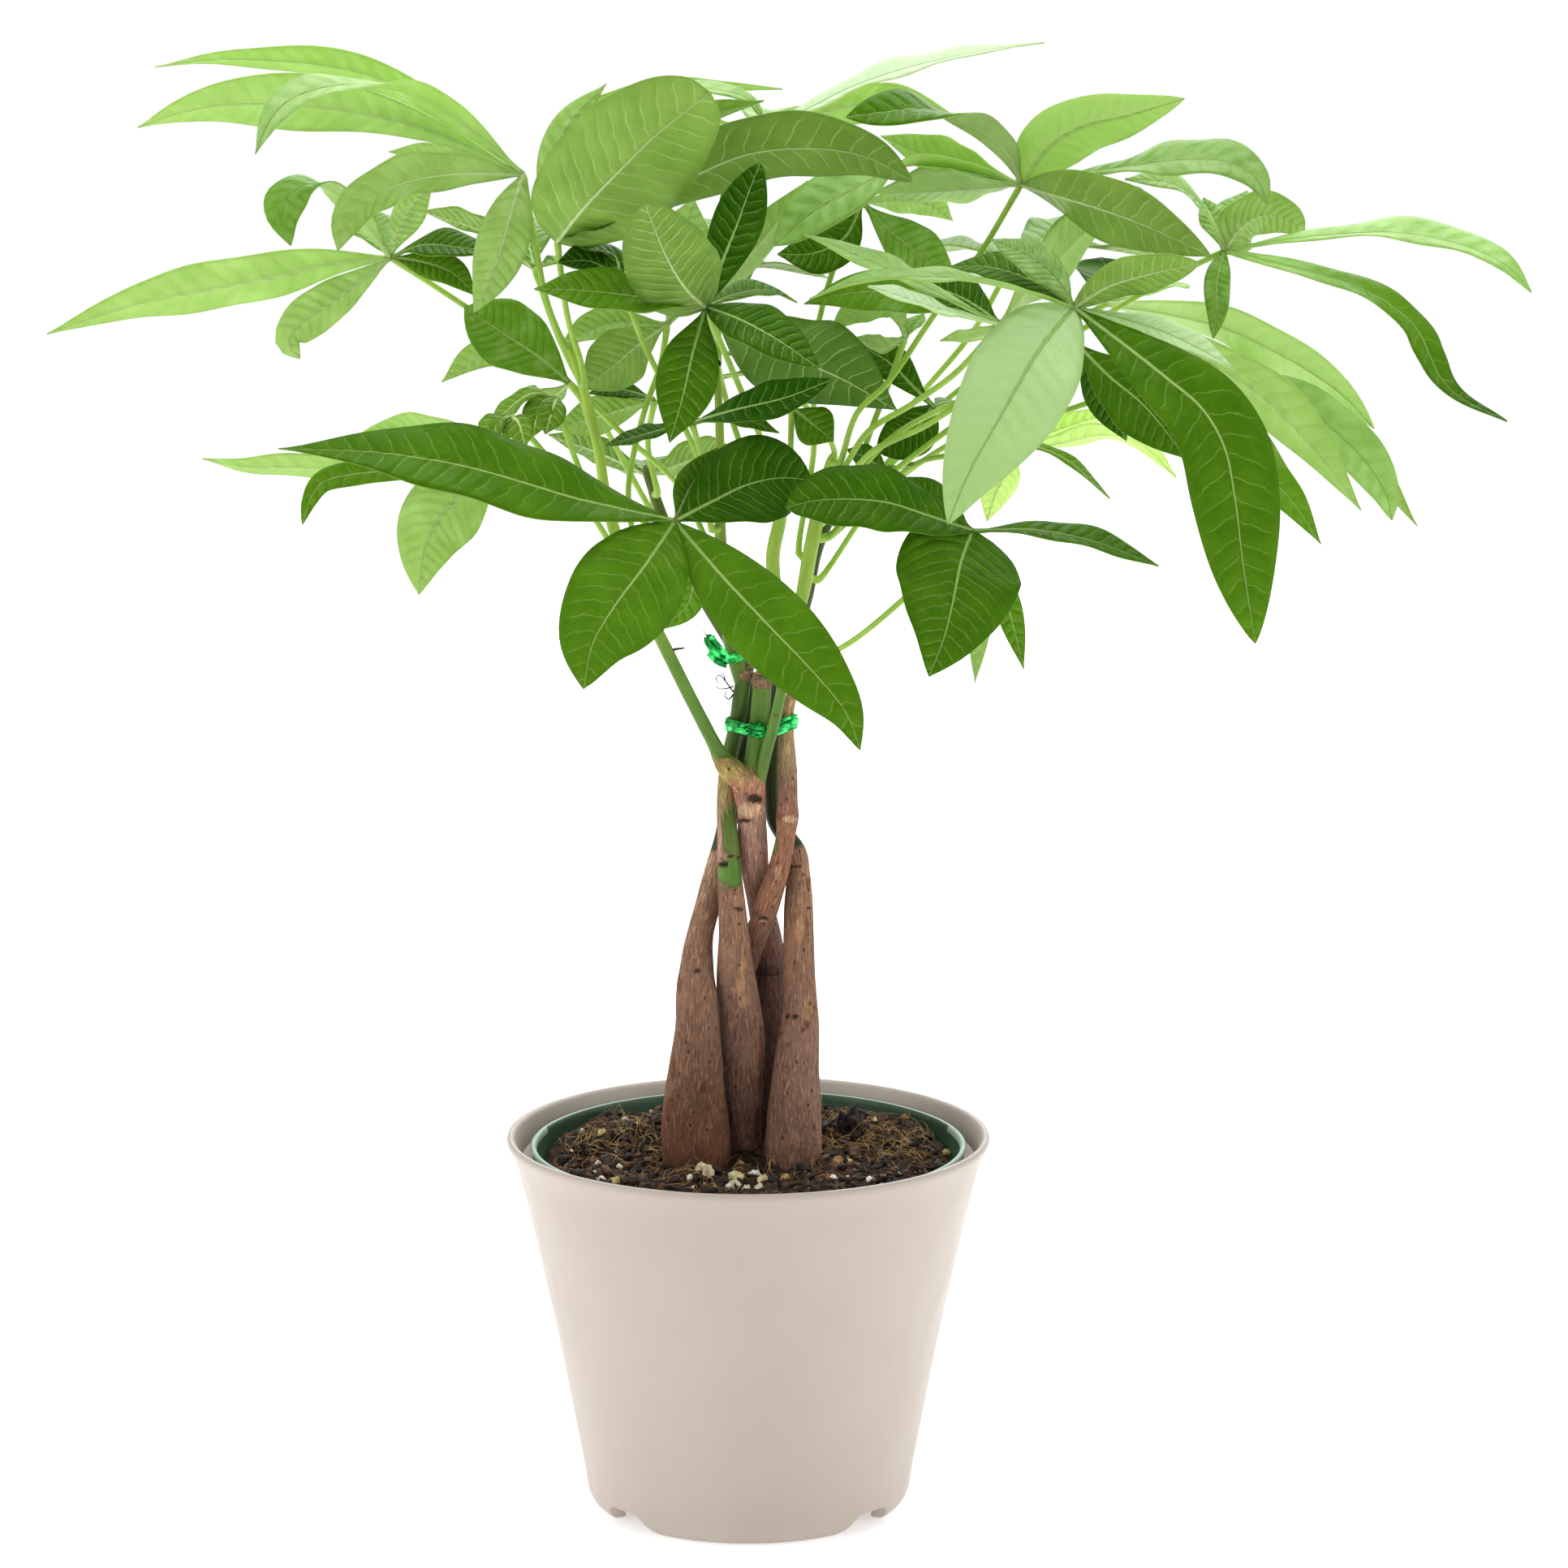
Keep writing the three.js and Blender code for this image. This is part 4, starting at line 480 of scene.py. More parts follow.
        [16, 60, 0, [[50, 335.6, 11], [39, 329.2, 9]], 0.5, 0.75],
        [12, 0, 0, [[62, 345, 28], [68, 342, 42]]],
    ],
    "leaf_small_right": [
        ["trunk_right", 0, 290],
        [[35, 310, 20], [43, 322, 8]],
        [9, 60, 0, [[37, 326.5, 3], [30, 330, -1]]],
        [8, 10, 0, [[46, 325, 0], [50, 325, -7]]],
    ],
    "leaf_rear_crown": [
        ["trunk_right", 0, 296],
        [[20, 330, 40], [20, 360, 34], [27, 388, 28], [34.5, 404.5, 26]],
        [16, 60, 0, [[43, 396, 27], [53, 388, 28], [63, 380, 28]]],
        [16, 60, 0, [[29, 394, 24], [20, 389.5, 22], [9, 389, 20]]],
        [12, -60, 0, [[44, 405.5, 34], [54, 404.3, 38], [61.5, 399.2, 42]]],
    ],
    "leaf_shaded_left": [
        ["trunk_front", 1, 306],
        [[-13, 322, -8], [-22, 343, -16], [-32, 364, -24], [-38, 381, -30]],
        [14, 30, 0, [[-47, 387, -30], [-57, 386.5, -32]]],
        [11, 8, 0, [[-40, 389, -26], [-50, 391, -27]]],
    ],
    "leaf_back_left": [
        ["trunk_left", 0, 310],
        [[-42, 335, 60], [-56, 362, 72], [-64, 385, 78]],
        [24, 0, 0, [[-78, 392, 102], [-92, 392, 132]]],
        [24, 0, 0, [[-66, 397, 108], [-64, 400, 146]]],
        [22, -10, 0, [[-50, 388, 100], [-40, 384, 126]]],
        [16, -40, 0, [[-78, 396, 84], [-97, 402, 94]]],
    ],
    "leaf_back_middle": [
        ["trunk_crossing", 0, 316],
        [[0, 327, 5], [-5, 340, 13], [-9, 356, 32], [-14, 382, 82]],
        [24, 0, 0, [[-22, 392, 110], [-32, 394, 144]]],
        [26, 0, 0, [[-6, 396, 112], [2, 398, 150]]],
        [22, 0, 0, [[4, 386, 104], [24, 382, 128]]],
        [18, 0, 0, [[-32, 382, 96], [-48, 374, 114]]],
    ],
    "leaf_back_right": [
        ["trunk_right", 0, 320],
        [[50, 344, 62], [68, 366, 76], [80, 388, 84]],
        [26, 0, 0, [[94, 397, 112], [108, 400, 146]]],
        [24, 0, 0, [[70, 392, 112], [60, 390, 146]]],
        [22, 0, 0, [[100, 392, 92], [124, 388, 106]]],
        [20, 0, 0, [[62, 392, 100], [44, 392, 120]]],
    ],
    "leaf_back_low": [
        ["trunk_right", 0, 310],
        [[26, 330, 62], [16, 345, 76], [8, 354, 86]],
        [22, 0, 0, [[-4, 360, 112], [-12, 358, 142]]],
        [22, 0, 0, [[16, 362, 114], [24, 358, 146]]],
        [20, 0, 0, [[26, 356, 98], [42, 348, 112]]],
        [18, 0, 0, [[-8, 352, 96], [-26, 346, 110]]],
    ],
}
# The height, as seen, from which each limb of a trunk is green.
GREEN_FROM = {
    "trunk_left": [207],
    "trunk_front": [230, 0],
    "trunk_middle": [400, 232, 234.5, 228],
    "trunk_crossing": [262],
    "trunk_right": [207],
}

# The hue of each trunk's bark by height, as seen, with painted shade: the lowest entries are darkened where
# the trunks go down into the pot, most of all on the middle and crossing trunks, which stand behind.
BARK_HUES_AND_SHADE = {
    "trunk_left": [
        (102, "#5c3a2a"), (112, "#7e543e"), (130, "#846049"), (160, "#866350"), (185, "#94705a"),
        (205, "#a6846a"),
    ],
    "trunk_front": [
        (102, "#664a40"), (115, "#8a6656"), (135, "#866555"), (160, "#856452"), (178, "#8b6952"),
        (192, "#98705a"), (196, "#8d6c55"), (206, "#8f7058"), (222, "#98865a"), (229, "#a5935c"),
    ],
    "trunk_middle": [
        (102, "#3c2a24"), (130, "#5a3f34"), (166, "#684a3e"), (169, "#50382f"), (171, "#6a4e42"),
        (185, "#84604f"), (200, "#a27a68"), (215, "#a27c6c"), (222, "#a06f59"), (227, "#ac7b5e"),
        (232, "#a38a58"), (240, "#978a55"),
    ],
    "trunk_crossing": [
        (100, "#3a251c"), (150, "#5c4033"), (178, "#815d4a"), (190, "#94684f"), (203, "#8b5e49"),
        (215.5, "#96694f"), (217, "#6d4637"), (218.5, "#966552"), (225, "#8f6a58"), (234, "#a68a66"),
        (250, "#ad9064"), (258, "#b68f77"),
    ],
    "trunk_right": [
        (102, "#704c3c"), (115, "#a07a66"), (135, "#987462"), (160, "#8a6753"), (185, "#8a654f"),
        (200, "#9a755c"), (210, "#a87f68"),
    ],
}

# The hue of the green shoots by height, as seen, and how much light the shaded ones lack.
SHOOT_HUES = [(196, "#586a26"), (240, "#527428"), (262, "#5f842e"), (290, "#84a03a"), (330, "#98b646")]
SHADED = {
    ("trunk_left", 0): 0.75,
    ("trunk_front", 0): 0.45,
    ("trunk_front", 1): 0.3,
    ("trunk_middle", 1): 0.15,
    ("trunk_right", 0): 0.8,
}

# Kinds of marks in the bark: hue, how far it stands out in millimetres, and 1 where it is smooth and green.
MARK_KINDS = {
    "scar": ("#33211b", -0.35, 0),
    "crack": ("#42291f", -0.25, 0),
    "peel": ("#a67c5c", -0.12, 0),
    "pale": ("#b89678", 0.0, 0),
    "olive": ("#a08c50", 0.2, 0),
    "pink": ("#b48a78", 0.0, 0),
    "rust": ("#754930", 0.1, 0),
    "green": ("#5c7230", -0.05, 1),
    "bright_green": ("#50782a", -0.05, 1),
    "dash": ("#6a4a2c", -0.05, 1),
}

# How ragged the outlines of some kinds are, where the others have 1.
MARK_TEARS = {"scar": 0.45, "crack": 0.6, "pale": 0.5, "dash": 0.3}
# Where a mark fades out, as shares of its half size.
MARK_EDGE = (0.8, 1.1)

# Marks that face the front: trunk, limb, place as seen, width, height, kind.
BARK_MARKS = [
    ("trunk_middle", 0, 1, 219.2, 8.5, 5, "pale"),
    ("trunk_middle", 0, 2.3, 222.3, 5.2, 3, "scar"),
    ("trunk_middle", 0, 0.3, 223.6, 6, 0.8, "crack"),
    ("trunk_middle", 0, -0.9, 215.7, 4.4, 1.3, "crack"),
    ("trunk_middle", 0, 5.9, 167.6, 9, 0.8, "crack"),
    ("trunk_middle", 0, -4.6, 230, 7, 8, "olive"),
    ("trunk_middle", 2, -6.5, 231.5, 7, 8, "olive"),
    ("trunk_middle", 0, -5.7, 231.7, 1.3, 1.2, "scar"),
    ("trunk_middle", 0, -3.9, 228.6, 1.2, 1.4, "scar"),
    ("trunk_middle", 2, -5.7, 231.7, 1.3, 1.2, "scar"),
    ("trunk_middle", 3, 8.4, 248.4, 2.6, 0.8, "dash"),
    ("trunk_front", 0, -4.6, 212, 7.4, 19, "green"),
    ("trunk_front", 0, -5.0, 199.4, 9.4, 10.4, "bright_green"),
    ("trunk_front", 0, -8.7, 209, 1.8, 15, "pink"),
    ("trunk_front", 0, -7.7, 202, 3.4, 2, "scar"),
    ("trunk_front", 0, -4.6, 204.2, 5.4, 0.6, "crack"),
    ("trunk_front", 0, -2.7, 188, 3.4, 1, "scar"),
    ("trunk_front", 0, -4.3, 194.1, 1.8, 0.5, "crack"),
    ("trunk_front", 0, -2.6, 183.4, 1.2, 0.7, "scar"),
    ("trunk_front", 0, -1.6, 170, 2, 10, "peel"),
    ("trunk_front", 0, -2.2, 163.5, 3, 5, "peel"),
    ("trunk_front", 0, -1.4, 159, 3.6, 4, "peel"),
    ("trunk_front", 0, 3.7, 141, 1.6, 24, "rust"),
    ("trunk_front", 0, 2.7, 120, 1.6, 12, "rust"),
    ("trunk_crossing", 0, 4.7, 184.9, 3.2, 1.4, "crack"),
    ("trunk_crossing", 0, 4.2, 184.2, 2.4, 0.7, "pale"),
    ("trunk_crossing", 0, 12.8, 216.2, 5, 2, "pale"),
    ("trunk_crossing", 0, 9.4, 198.9, 2.6, 5, "peel"),
    ("trunk_crossing", 0, 8.3, 209.5, 1.4, 9, "green"),
    ("trunk_right", 0, 14.6, 201.3, 4, 1, "crack"),
    ("trunk_right", 0, 18.6, 196, 1.4, 5, "rust"),
    ("trunk_right", 0, 15.6, 190.6, 2, 2.6, "peel"),
    ("trunk_right", 0, 15.9, 181.5, 2.8, 9, "peel"),
    ("trunk_right", 0, 18.8, 188.6, 2, 0.8, "scar"),
    ("trunk_right", 0, 11.9, 154.3, 1.8, 1.6, "scar"),
    ("trunk_right", 0, 14.4, 154.3, 2, 1.6, "scar"),
    ("trunk_right", 0, 18.3, 157.5, 2.4, 8, "peel"),
    ("trunk_right", 0, 17.8, 152, 1.8, 3, "rust"),
    ("trunk_left", 0, -15.5, 168.6, 2.4, 1.6, "crack"),
    ("trunk_left", 0, -21.1, 164.5, 1.6, 6, "rust"),
    ("trunk_left", 0, -13.8, 131.8, 1.8, 3.4, "rust"),
    ("trunk_left", 0, -23.2, 138, 1.6, 9, "rust"),
    ("trunk_left", 0, -24.6, 125, 2, 9, "rust"),
]
CUT_LIMBS = {("trunk_front", 0), ("trunk_middle", 1)}
CUT_COLLAR = "#8a6a50"
CUT_SLANT = 0.55

# How far a stone's middle lies over the soil, as a share of its half height, and how uneven stones are.
STONE_STANDS = 0.35
STONE_BUMPS = 0.6
CLOD_BUMPS = 1.3
GRAIN_BUMPS = 1.2
# Stones and perlite that show in the soil: place as seen, half sizes across, deep and up, colour.
STONES = [
    (-17.5, 109, 3.6, 2.6, 3.9, "cream"),
    (-14.6, 105.8, 1.9, 1.8, 2.0, "cream"),
    (-12.5, 103.6, 2.1, 1.8, 2.8, "cream"),
    (-3.8, 103.0, 2.4, 1.9, 2.1, "straw"),
    (-4.4, 100.4, 2.3, 1.9, 1.8, "cream"),
    (-2.5, 106.9, 1.1, 1.2, 1.7, "tan"),
    (1.9, 103.6, 2.0, 1.7, 1.8, "white"),
    (4.4, 101.7, 1.6, 1.5, 2.2, "straw"),
    (-0.7, 99.6, 1.5, 1.3, 1.0, "cream"),
    (3.1, 99.8, 1.6, 1.3, 1.0, "cream"),
    (11.6, 102.6, 1.5, 1.4, 1.6, "tan"),
    (27.6, 107.9, 1.6, 1.4, 1.8, "tan"),
    (30.9, 108.2, 1.2, 1.1, 1.2, "straw"),
    (26.2, 102.9, 1.1, 1.1, 1.0, "white"),
    (-45.1, 116.8, 1.5, 1.3, 1.6, "straw"),
    (-38, 121.3, 1.1, 1.1, 1.0, "white"),
    (-51, 118, 0.8, 0.8, 0.8, "white"),
    (-40.5, 111.7, 0.9, 0.9, 0.9, "white"),
    (-46.3, 107.4, 1.1, 1.1, 1.1, "cream"),
    (-39.7, 106.3, 0.9, 0.9, 0.8, "cream"),
    (-47.2, 104.9, 0.7, 0.7, 0.7, "white"),
    (-53, 103.8, 0.8, 0.8, 0.8, "white"),
    (-45.5, 102.3, 1.4, 1.2, 1.0, "white"),
    (-41.3, 102, 1.8, 1.5, 1.2, "straw"),
    (-18, 102.8, 0.9, 0.9, 0.9, "white"),
    (37.4, 102.3, 1.1, 1.0, 0.9, "white"),
    (48.2, 122, 1.4, 1.2, 1.2, "tan"),
    (61, 111, 1.2, 1.1, 1.0, "straw"),
    (17.8, 107.2, 0.7, 0.7, 0.7, "white"),
    (31, 119.6, 3.4, 3.0, 4.6, "black"),
    (33.6, 118.4, 2.4, 2.4, 3.4, "black"),
    (28.6, 118, 2.2, 2.4, 2.8, "black"),
    (-42.5, 115.5, 1.4, 3.0, 3.2, "bark"),
    (32.5, 111.5, 2.6, 3.6, 1.4, "bark"),
    (-30, 108, 2.2, 3.0, 1.2, "bark"),
    (46, 110, 3.2, 1.6, 1.2, "bark"),
]

# The dark and light colour of each kind of grain.
GRAIN_COLOURS = {
    "white": ("#d9d5ca", "#ffffff"),
    "cream": ("#c9b48c", "#f0ead8"),
    "straw": ("#a89048", "#e6dca4"),
    "tan": ("#8a6238", "#c89c60"),
    "bark": ("#2a1a10", "#6a4628"),
    "black": ("#140d09", "#35241a"),
    "rust": ("#4a2a16", "#8a5a30"),
}

# The least and greatest length, breadth and height of a small grain, as shares of its size.
GRAIN_SHAPE = [(0.7, 2.2), (0.6, 1), (0.3, 0.9)]

# Small grains all over the soil: kind, how many, least and greatest size.
SCATTER = [
    ("bark", 1250, 0.25, 1.7),
    ("black", 950, 0.25, 1.8),
    ("rust", 450, 0.2, 1.0),
    ("white", 90, 0.25, 0.7),
    ("straw", 60, 0.4, 1.0),
]

# Clumps of straw and moss fibres: place as seen, spread, how many.
FIBRE_LENGTH = (4, 16)
FIBRE_RADIUS = (0.07, 0.16)
FIBRE_CLUMPS = [
    (-52, 113, 6, 80),
    (-36, 119, 6, 75),
    (-30, 112, 5, 40),
    (-17, 103, 7, 50),
    (28, 119, 6, 80),
    (38, 112, 7, 90),
    (48, 117, 7, 70),
    (14, 104, 9, 30),
    (57, 112, 5, 60),
]

# The foil tie round the stems, and its second, smaller one on the front trunk's shoot.
TIE_SEEN_AT = 246
TIE_LEVEL = 245
TIE_TILT = 0.05
TIE_GAP = 0.9
TIE_END_GAP = 0.55
TIE_STEMS = [
    ("trunk_left", 0),
    ("trunk_front", 0),
    ("trunk_middle", 1),
    ("trunk_crossing", 0),
    ("trunk_right", 0),
]
# The turns of foil round the stems: height above the middle one, how far out, where they sway.
TIE_TURNS = [(-1.15, 0.1, 0.0), (0.1, 0.35, 1.3), (1.15, 0.1, 2.6)]
# How far the front of the tie lies over or under its level at some places across.
TIE_SAG = [[-6, -3, 3, 7, 10, 14], [1.0, 0.2, -0.9, -0.8, -0.2, 1.0]]
# The twisted strips of the knot, as seen: from x, to x, from z, to z.
TIE_KNOT = [(-3, 5, 243.6, 244.6), (-2, 6, 245.4, 243.4), (-1, 4, 244.6, 245.6), (0, 3, 243, 246)]
TIE_END_AT = 266.5
# The tails of the upper tie: half width and places as seen.
TIE_TAILS = [
    (
        1.0,
        [
            (-6.5, 264.5, -1), (-9.4, 266.6, -3), (-12.4, 271.8, -4), (-11.6, 272.6, -4.4), (-8.4, 269, -4),
            (-6, 265.5, -2),
        ],
    ),
    (1.2, [(-6.6, 266, -1), (-9, 269, -3), (-11.4, 272.6, -3.5)]),
    (0.8, [(-6.4, 263.6, -1.5), (-9.6, 265, -3.4), (-12, 267.6, -4)]),
]

# Dark wisps on the shoots, as seen, and their radius at the root: a thorn, dry curls, the upper tie's wire.
WISPS = [
    ([[-23.6, 268.2, -10.6], [-21.8, 268.8, -11.4], [-20.2, 269, -12], [-19.2, 269.2, -12.4]], 0.55),
    ([[-4.4, 255.6, 1.4], [-6.4, 258.4, -1], [-8.6, 260.8, -2], [-9.7, 259.6, -2], [-8.8, 258.3, -2]], 0.3),
    ([[-4.4, 257.4, 1.2], [-6.6, 256.6, -1], [-8.6, 256.6, -2], [-9.9, 257.6, -2]], 0.26),
    ([[-4.4, 254.8, 1.4], [-5.8, 253.4, -1], [-7, 254.4, -2], [-6.4, 256, -2]], 0.3),
    ([[-6.8, 258.9, -1], [-7.3, 260.8, -1.6], [-8.4, 261.6, -2]], 0.25),
    ([[-11.9, 271.6, -4.2], [-12.6, 273, -4.6], [-13.6, 274.9, -5]], 0.22),
]

# The tone of each leaflet, from 0, dark and shaded, to 1 and over, pale and lit through; the shade is painted
# into the colour, and tones over 1 add a painted sheen and over 1.3 a painted glow. A pair gives the tones at
# its base and its tip. The leaflets of leaves that aren't listed have PLAIN_TONE.
PLAIN_TONE = 0.35
TONES = {
    "leaf_upper_left": [0.95, 1.0, 0.85, 0.8, 0.66, 0.68],
    "leaf_upper_middle": [0.42, 0.28, 0.9, 1.0, 0.9, 0.1, 0.6],
    "leaf_crown": [1.55, 0.85, 0.4, 0.7, 0.7],
    "leaf_upper_right": [1.15, 0.6, 0.36, 1.0, 0.9, 0.78, 0.85, 0.05],
    "leaf_front_middle": [0.3, 0.05, 0.36, 0.22, 0.12, 0.03, 0.3],
    "leaf_far_right": [0.88, (0.98, 0.02), 0.6, 0.8, 0.8, 0.6, 0.6],
    "leaf_front_right": [(1.3, 1.1), (0.15, 0.3), 1.3, 0.75, 0.7, 0.45, 0.65, 0.2, 0.05],
    "leaf_inner_right": [0.85, 1.5, 0.1, 0.65, 0.9, 0.5],
    "leaf_far_left": [0.85, 0.85, 0.75, 0.9, 0.2, 0.35, 0.5],
    "leaf_front_low": [0.24, 0.32, 0.28, 0.08, 0.2, 0.5],
    "leaf_inner_left": [0.52, 0.6, 0.5],
    "leaf_low_right": [0.22, 0.2, 0.16, 0.2, 0.4, 0.6],
    "leaf_shaded_right": [0.2, 0.05],
    "leaf_rear_right": [1.45, 0.8, 0.05],
    "leaf_low_far_right": [0.85, 0.5, 0.5, 0.6],
    "leaf_young_right": [1.4, 1.35, 1.5, 0.1],
    "leaf_low_left": [1.0, 0.85, 0.4, 0.85, 0.6],
    "leaf_rear_low": [0.2, 0.5, 0.5],
    "leaf_young_left_outer": [0.12, 0.08, 0.12],
    "leaf_young_left_inner": [0.15, 0.1, 0.1],
    "leaf_rear_left_small": [0.55, 0.1],
    "leaf_rear_middle": [0.5, 0.7, 0.8, 0.5],
    "leaf_middle_low": [0.0, 0.2, 0.05],
    "leaf_twig_right": [0.8, 0.85, 0.9],
    "leaf_inner_middle": [0.1, 0.12, 0.3],
    "leaf_small_right": [0.15, 0.3],
    "leaf_rear_crown": [0.62, 0.2, 0.95],
    "leaf_shaded_left": [0.0, 0.05],
}

# The tone of the upper face of leaflets that turn so far that both faces show.
TURNED_TOPS = {
    ("leaf_upper_left", 2): 1.0,
    ("leaf_upper_middle", 2): 0.9,
    ("leaf_upper_right", 1): 0.72,
    ("leaf_upper_right", 5): 0.2,
    ("leaf_upper_right", 6): 0.7,
    ("leaf_far_left", 2): 0.6,
}

YOUNG_LEAVES = ["leaf_young_right", "leaf_young_left_outer", "leaf_young_left_inner"]


# Shapes.


def seen(points):
    """Positions, in metres, of points that are written as they are seen."""
    p = np.atleast_2d(np.array([point[:3] for point in points], float))
    far = 1 - p[:, 2] / EYE[1]
    x = EYE[0] + (p[:, 0] - EYE[0]) * far
    z = EYE[2] + (p[:, 1] - EYE[2]) * far
    return np.stack([x, p[:, 2], z], axis=1) * MM


def look_at_plane(positions):
    """The x and z, in millimetres, at which each position's line of sight crosses the plane y = 0."""
    p = positions / MM
    far = 1 - p[:, 1] / EYE[1]
    return EYE[0] + (p[:, 0] - EYE[0]) / far, EYE[2] + (p[:, 2] - EYE[2]) / far


def unit(vectors):
    """Each vector at length 1."""
    return vectors / np.maximum(np.linalg.norm(vectors, axis=-1, keepdims=True), 1e-12)


def square_to(direction, axis):
    """The part of each direction that is square to its axis."""
    return unit(direction - axis * np.sum(direction * axis, axis=-1, keepdims=True))


def smooth(points, steps):
    """Points at equal steps on a centripetal curve through points, their directions, and its length.

    Values after the first three of each point, such as a radius, are carried along.
    """
    p = np.vstack([2 * points[0] - points[1], points, 2 * points[-1] - points[-2]])
    dense = []
    s = np.linspace(0, 1, 40, endpoint=False)[:, None]
    for i in range(1, len(p) - 2):
        x0, x1, x2, x3 = p[i - 1 : i + 3]
        gaps = [np.linalg.norm((b - a)[:3]) ** 0.5 + 1e-9 for a, b in ((x0, x1), (x1, x2), (x2, x3))]
        d0, d1, d2 = gaps
        t1 = ((x1 - x0) / d0 - (x2 - x0) / (d0 + d1) + (x2 - x1) / d1) * d1
        t2 = ((x2 - x1) / d1 - (x3 - x1) / (d1 + d2) + (x3 - x2) / d2) * d1
        bend = (-3 * x1 + 3 * x2 - 2 * t1 - t2) * s**2
        ease = (2 * x1 - 2 * x2 + t1 + t2) * s**3
        dense.append(x1 + t1 * s + bend + ease)
    path = np.vstack(dense + [p[-2:-1]])
    steps_on = np.linalg.norm(np.diff(path[:, :3], axis=0), axis=1)
    run = np.concatenate([[0], np.cumsum(steps_on)])
    even = np.linspace(0, run[-1], steps + 1)
    at = np.stack([np.interp(even, run, path[:, k]) for k in range(path.shape[1])], axis=1)
    return at, unit(np.gradient(at[:, :3], axis=0)), run[-1]


def smoothstep(value, low, high):
    """A soft step from 0 at low to 1 at high."""
    share = np.clip((value - low) / (high - low), 0, 1)
    return share * share * (3 - 2 * share)


def rough(positions, scale, seed=0.0):
    """Smooth noise from -1 to 1 at each position, in features about as big as `scale`."""
    shift = Vector((seed * 7.3, seed * 3.1, seed * 5.7))
    return np.array([noise.noise(Vector(p) / scale + shift) for p in positions])


def grid_faces(rows, columns, closed=False):
    """Quads of a grid of vertices stored row by row."""
    faces = []
    last = columns if closed else columns - 1
    for r in range(rows - 1):
        for c in range(last):
            a = r * columns + c
            b = r * columns + (c + 1) % columns
            faces.append((a, b, b + columns, a + columns))
    return faces


def rgb(code):
    """A linear colour from a hex code."""
    shares = [int(code[i : i + 2], 16) / 255 for i in (1, 3, 5)]
    return tuple(((c + 0.055) / 1.055) ** 2.4 if c > 0.04045 else c / 12.92 for c in shares) + (1,)


def hue_at(heights, table):
    """The colour at each height, from a table of heights and hex codes."""
    colours = np.array([rgb(code)[:3] for _, code in table])
    levels = [level for level, _ in table]
    return np.stack([np.interp(heights, levels, colours[:, k]) for k in range(3)], axis=1)


class Piece:
    """Collects the vertices, faces and per-vertex values of one object."""

    def __init__(self):
        self.positions = []
        self.faces = []
        self.slots = []
        self.values = {}
        self.count = 0

    def add(self, positions, faces, slot=0, **values):
        """Adds a part, whose faces share a material slot or have a list with one for each."""
        positions = np.asarray(positions)
        self.positions.append(positions)
        self.faces += [tuple(i + self.count for i in face) for face in faces]
        self.slots += slot if isinstance(slot, list) else [slot] * len(faces)
        for name, value in values.items():
            self.values.setdefault(name, []).append((self.count, np.asarray(value, float)))
        self.count += len(positions)

    def build(self, name, materials, slot, replaces=()):
        mesh = bpy.data.meshes.new(name)
        mesh.from_pydata(np.vstack(self.positions).tolist(), [], self.faces)
        for material in materials:
            mesh.materials.append(material)
        mesh.polygons.foreach_set("material_index", self.slots)
        mesh.polygons.foreach_set("use_smooth", [True] * len(self.faces))
        for value_name, parts in self.values.items():
            wide = parts[0][1].ndim == 2
            whole = np.zeros((self.count, 3) if wide else self.count)
            for start, part in parts:
                whole[start : start + len(part)] = part
            layer = mesh.attributes.new(value_name, "FLOAT_VECTOR" if wide else "FLOAT", "POINT")
            layer.data.foreach_set("vector" if wide else "value", whole.ravel())
        mesh.update()
        obj = bpy.data.objects.new(name, mesh)
        bpy.context.scene.collection.objects.link(obj)
        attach(obj, "root")
        if replaces:
            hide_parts(*replaces)


def tube(at, along, radii, sides, first_across):
    """Rings of vertices round a path, and each ring's two cross directions."""
    turns = np.linspace(0, 2 * np.pi, sides, endpoint=False)
    across = first_across
    rings, sideways, upward = [], [], []
    for here, ahead, radius in zip(at, along, radii):
        across = square_to(across, ahead)
        other = np.cross(ahead, across)
        out = np.outer(np.cos(turns), across) + np.outer(np.sin(turns), other)
        rings.append(here + out * radius)
        sideways.append(across)
        upward.append(other)
    return np.vstack(rings), np.array(sideways), np.array(upward)


def thread(piece, points, steps, sides, radius, taper):
    """A thin fibre through points. Its end has a share, taper, of the radius at its root."""
    at, along, _ = smooth(points, steps)
    radii = np.linspace(1, taper, steps + 1) * radius * MM
    rings = tube(at, along, radii, sides, np.array([0.3, 0.2, 1.0]))[0]
    piece.add(rings, grid_faces(steps + 1, sides, closed=True))


# Materials.


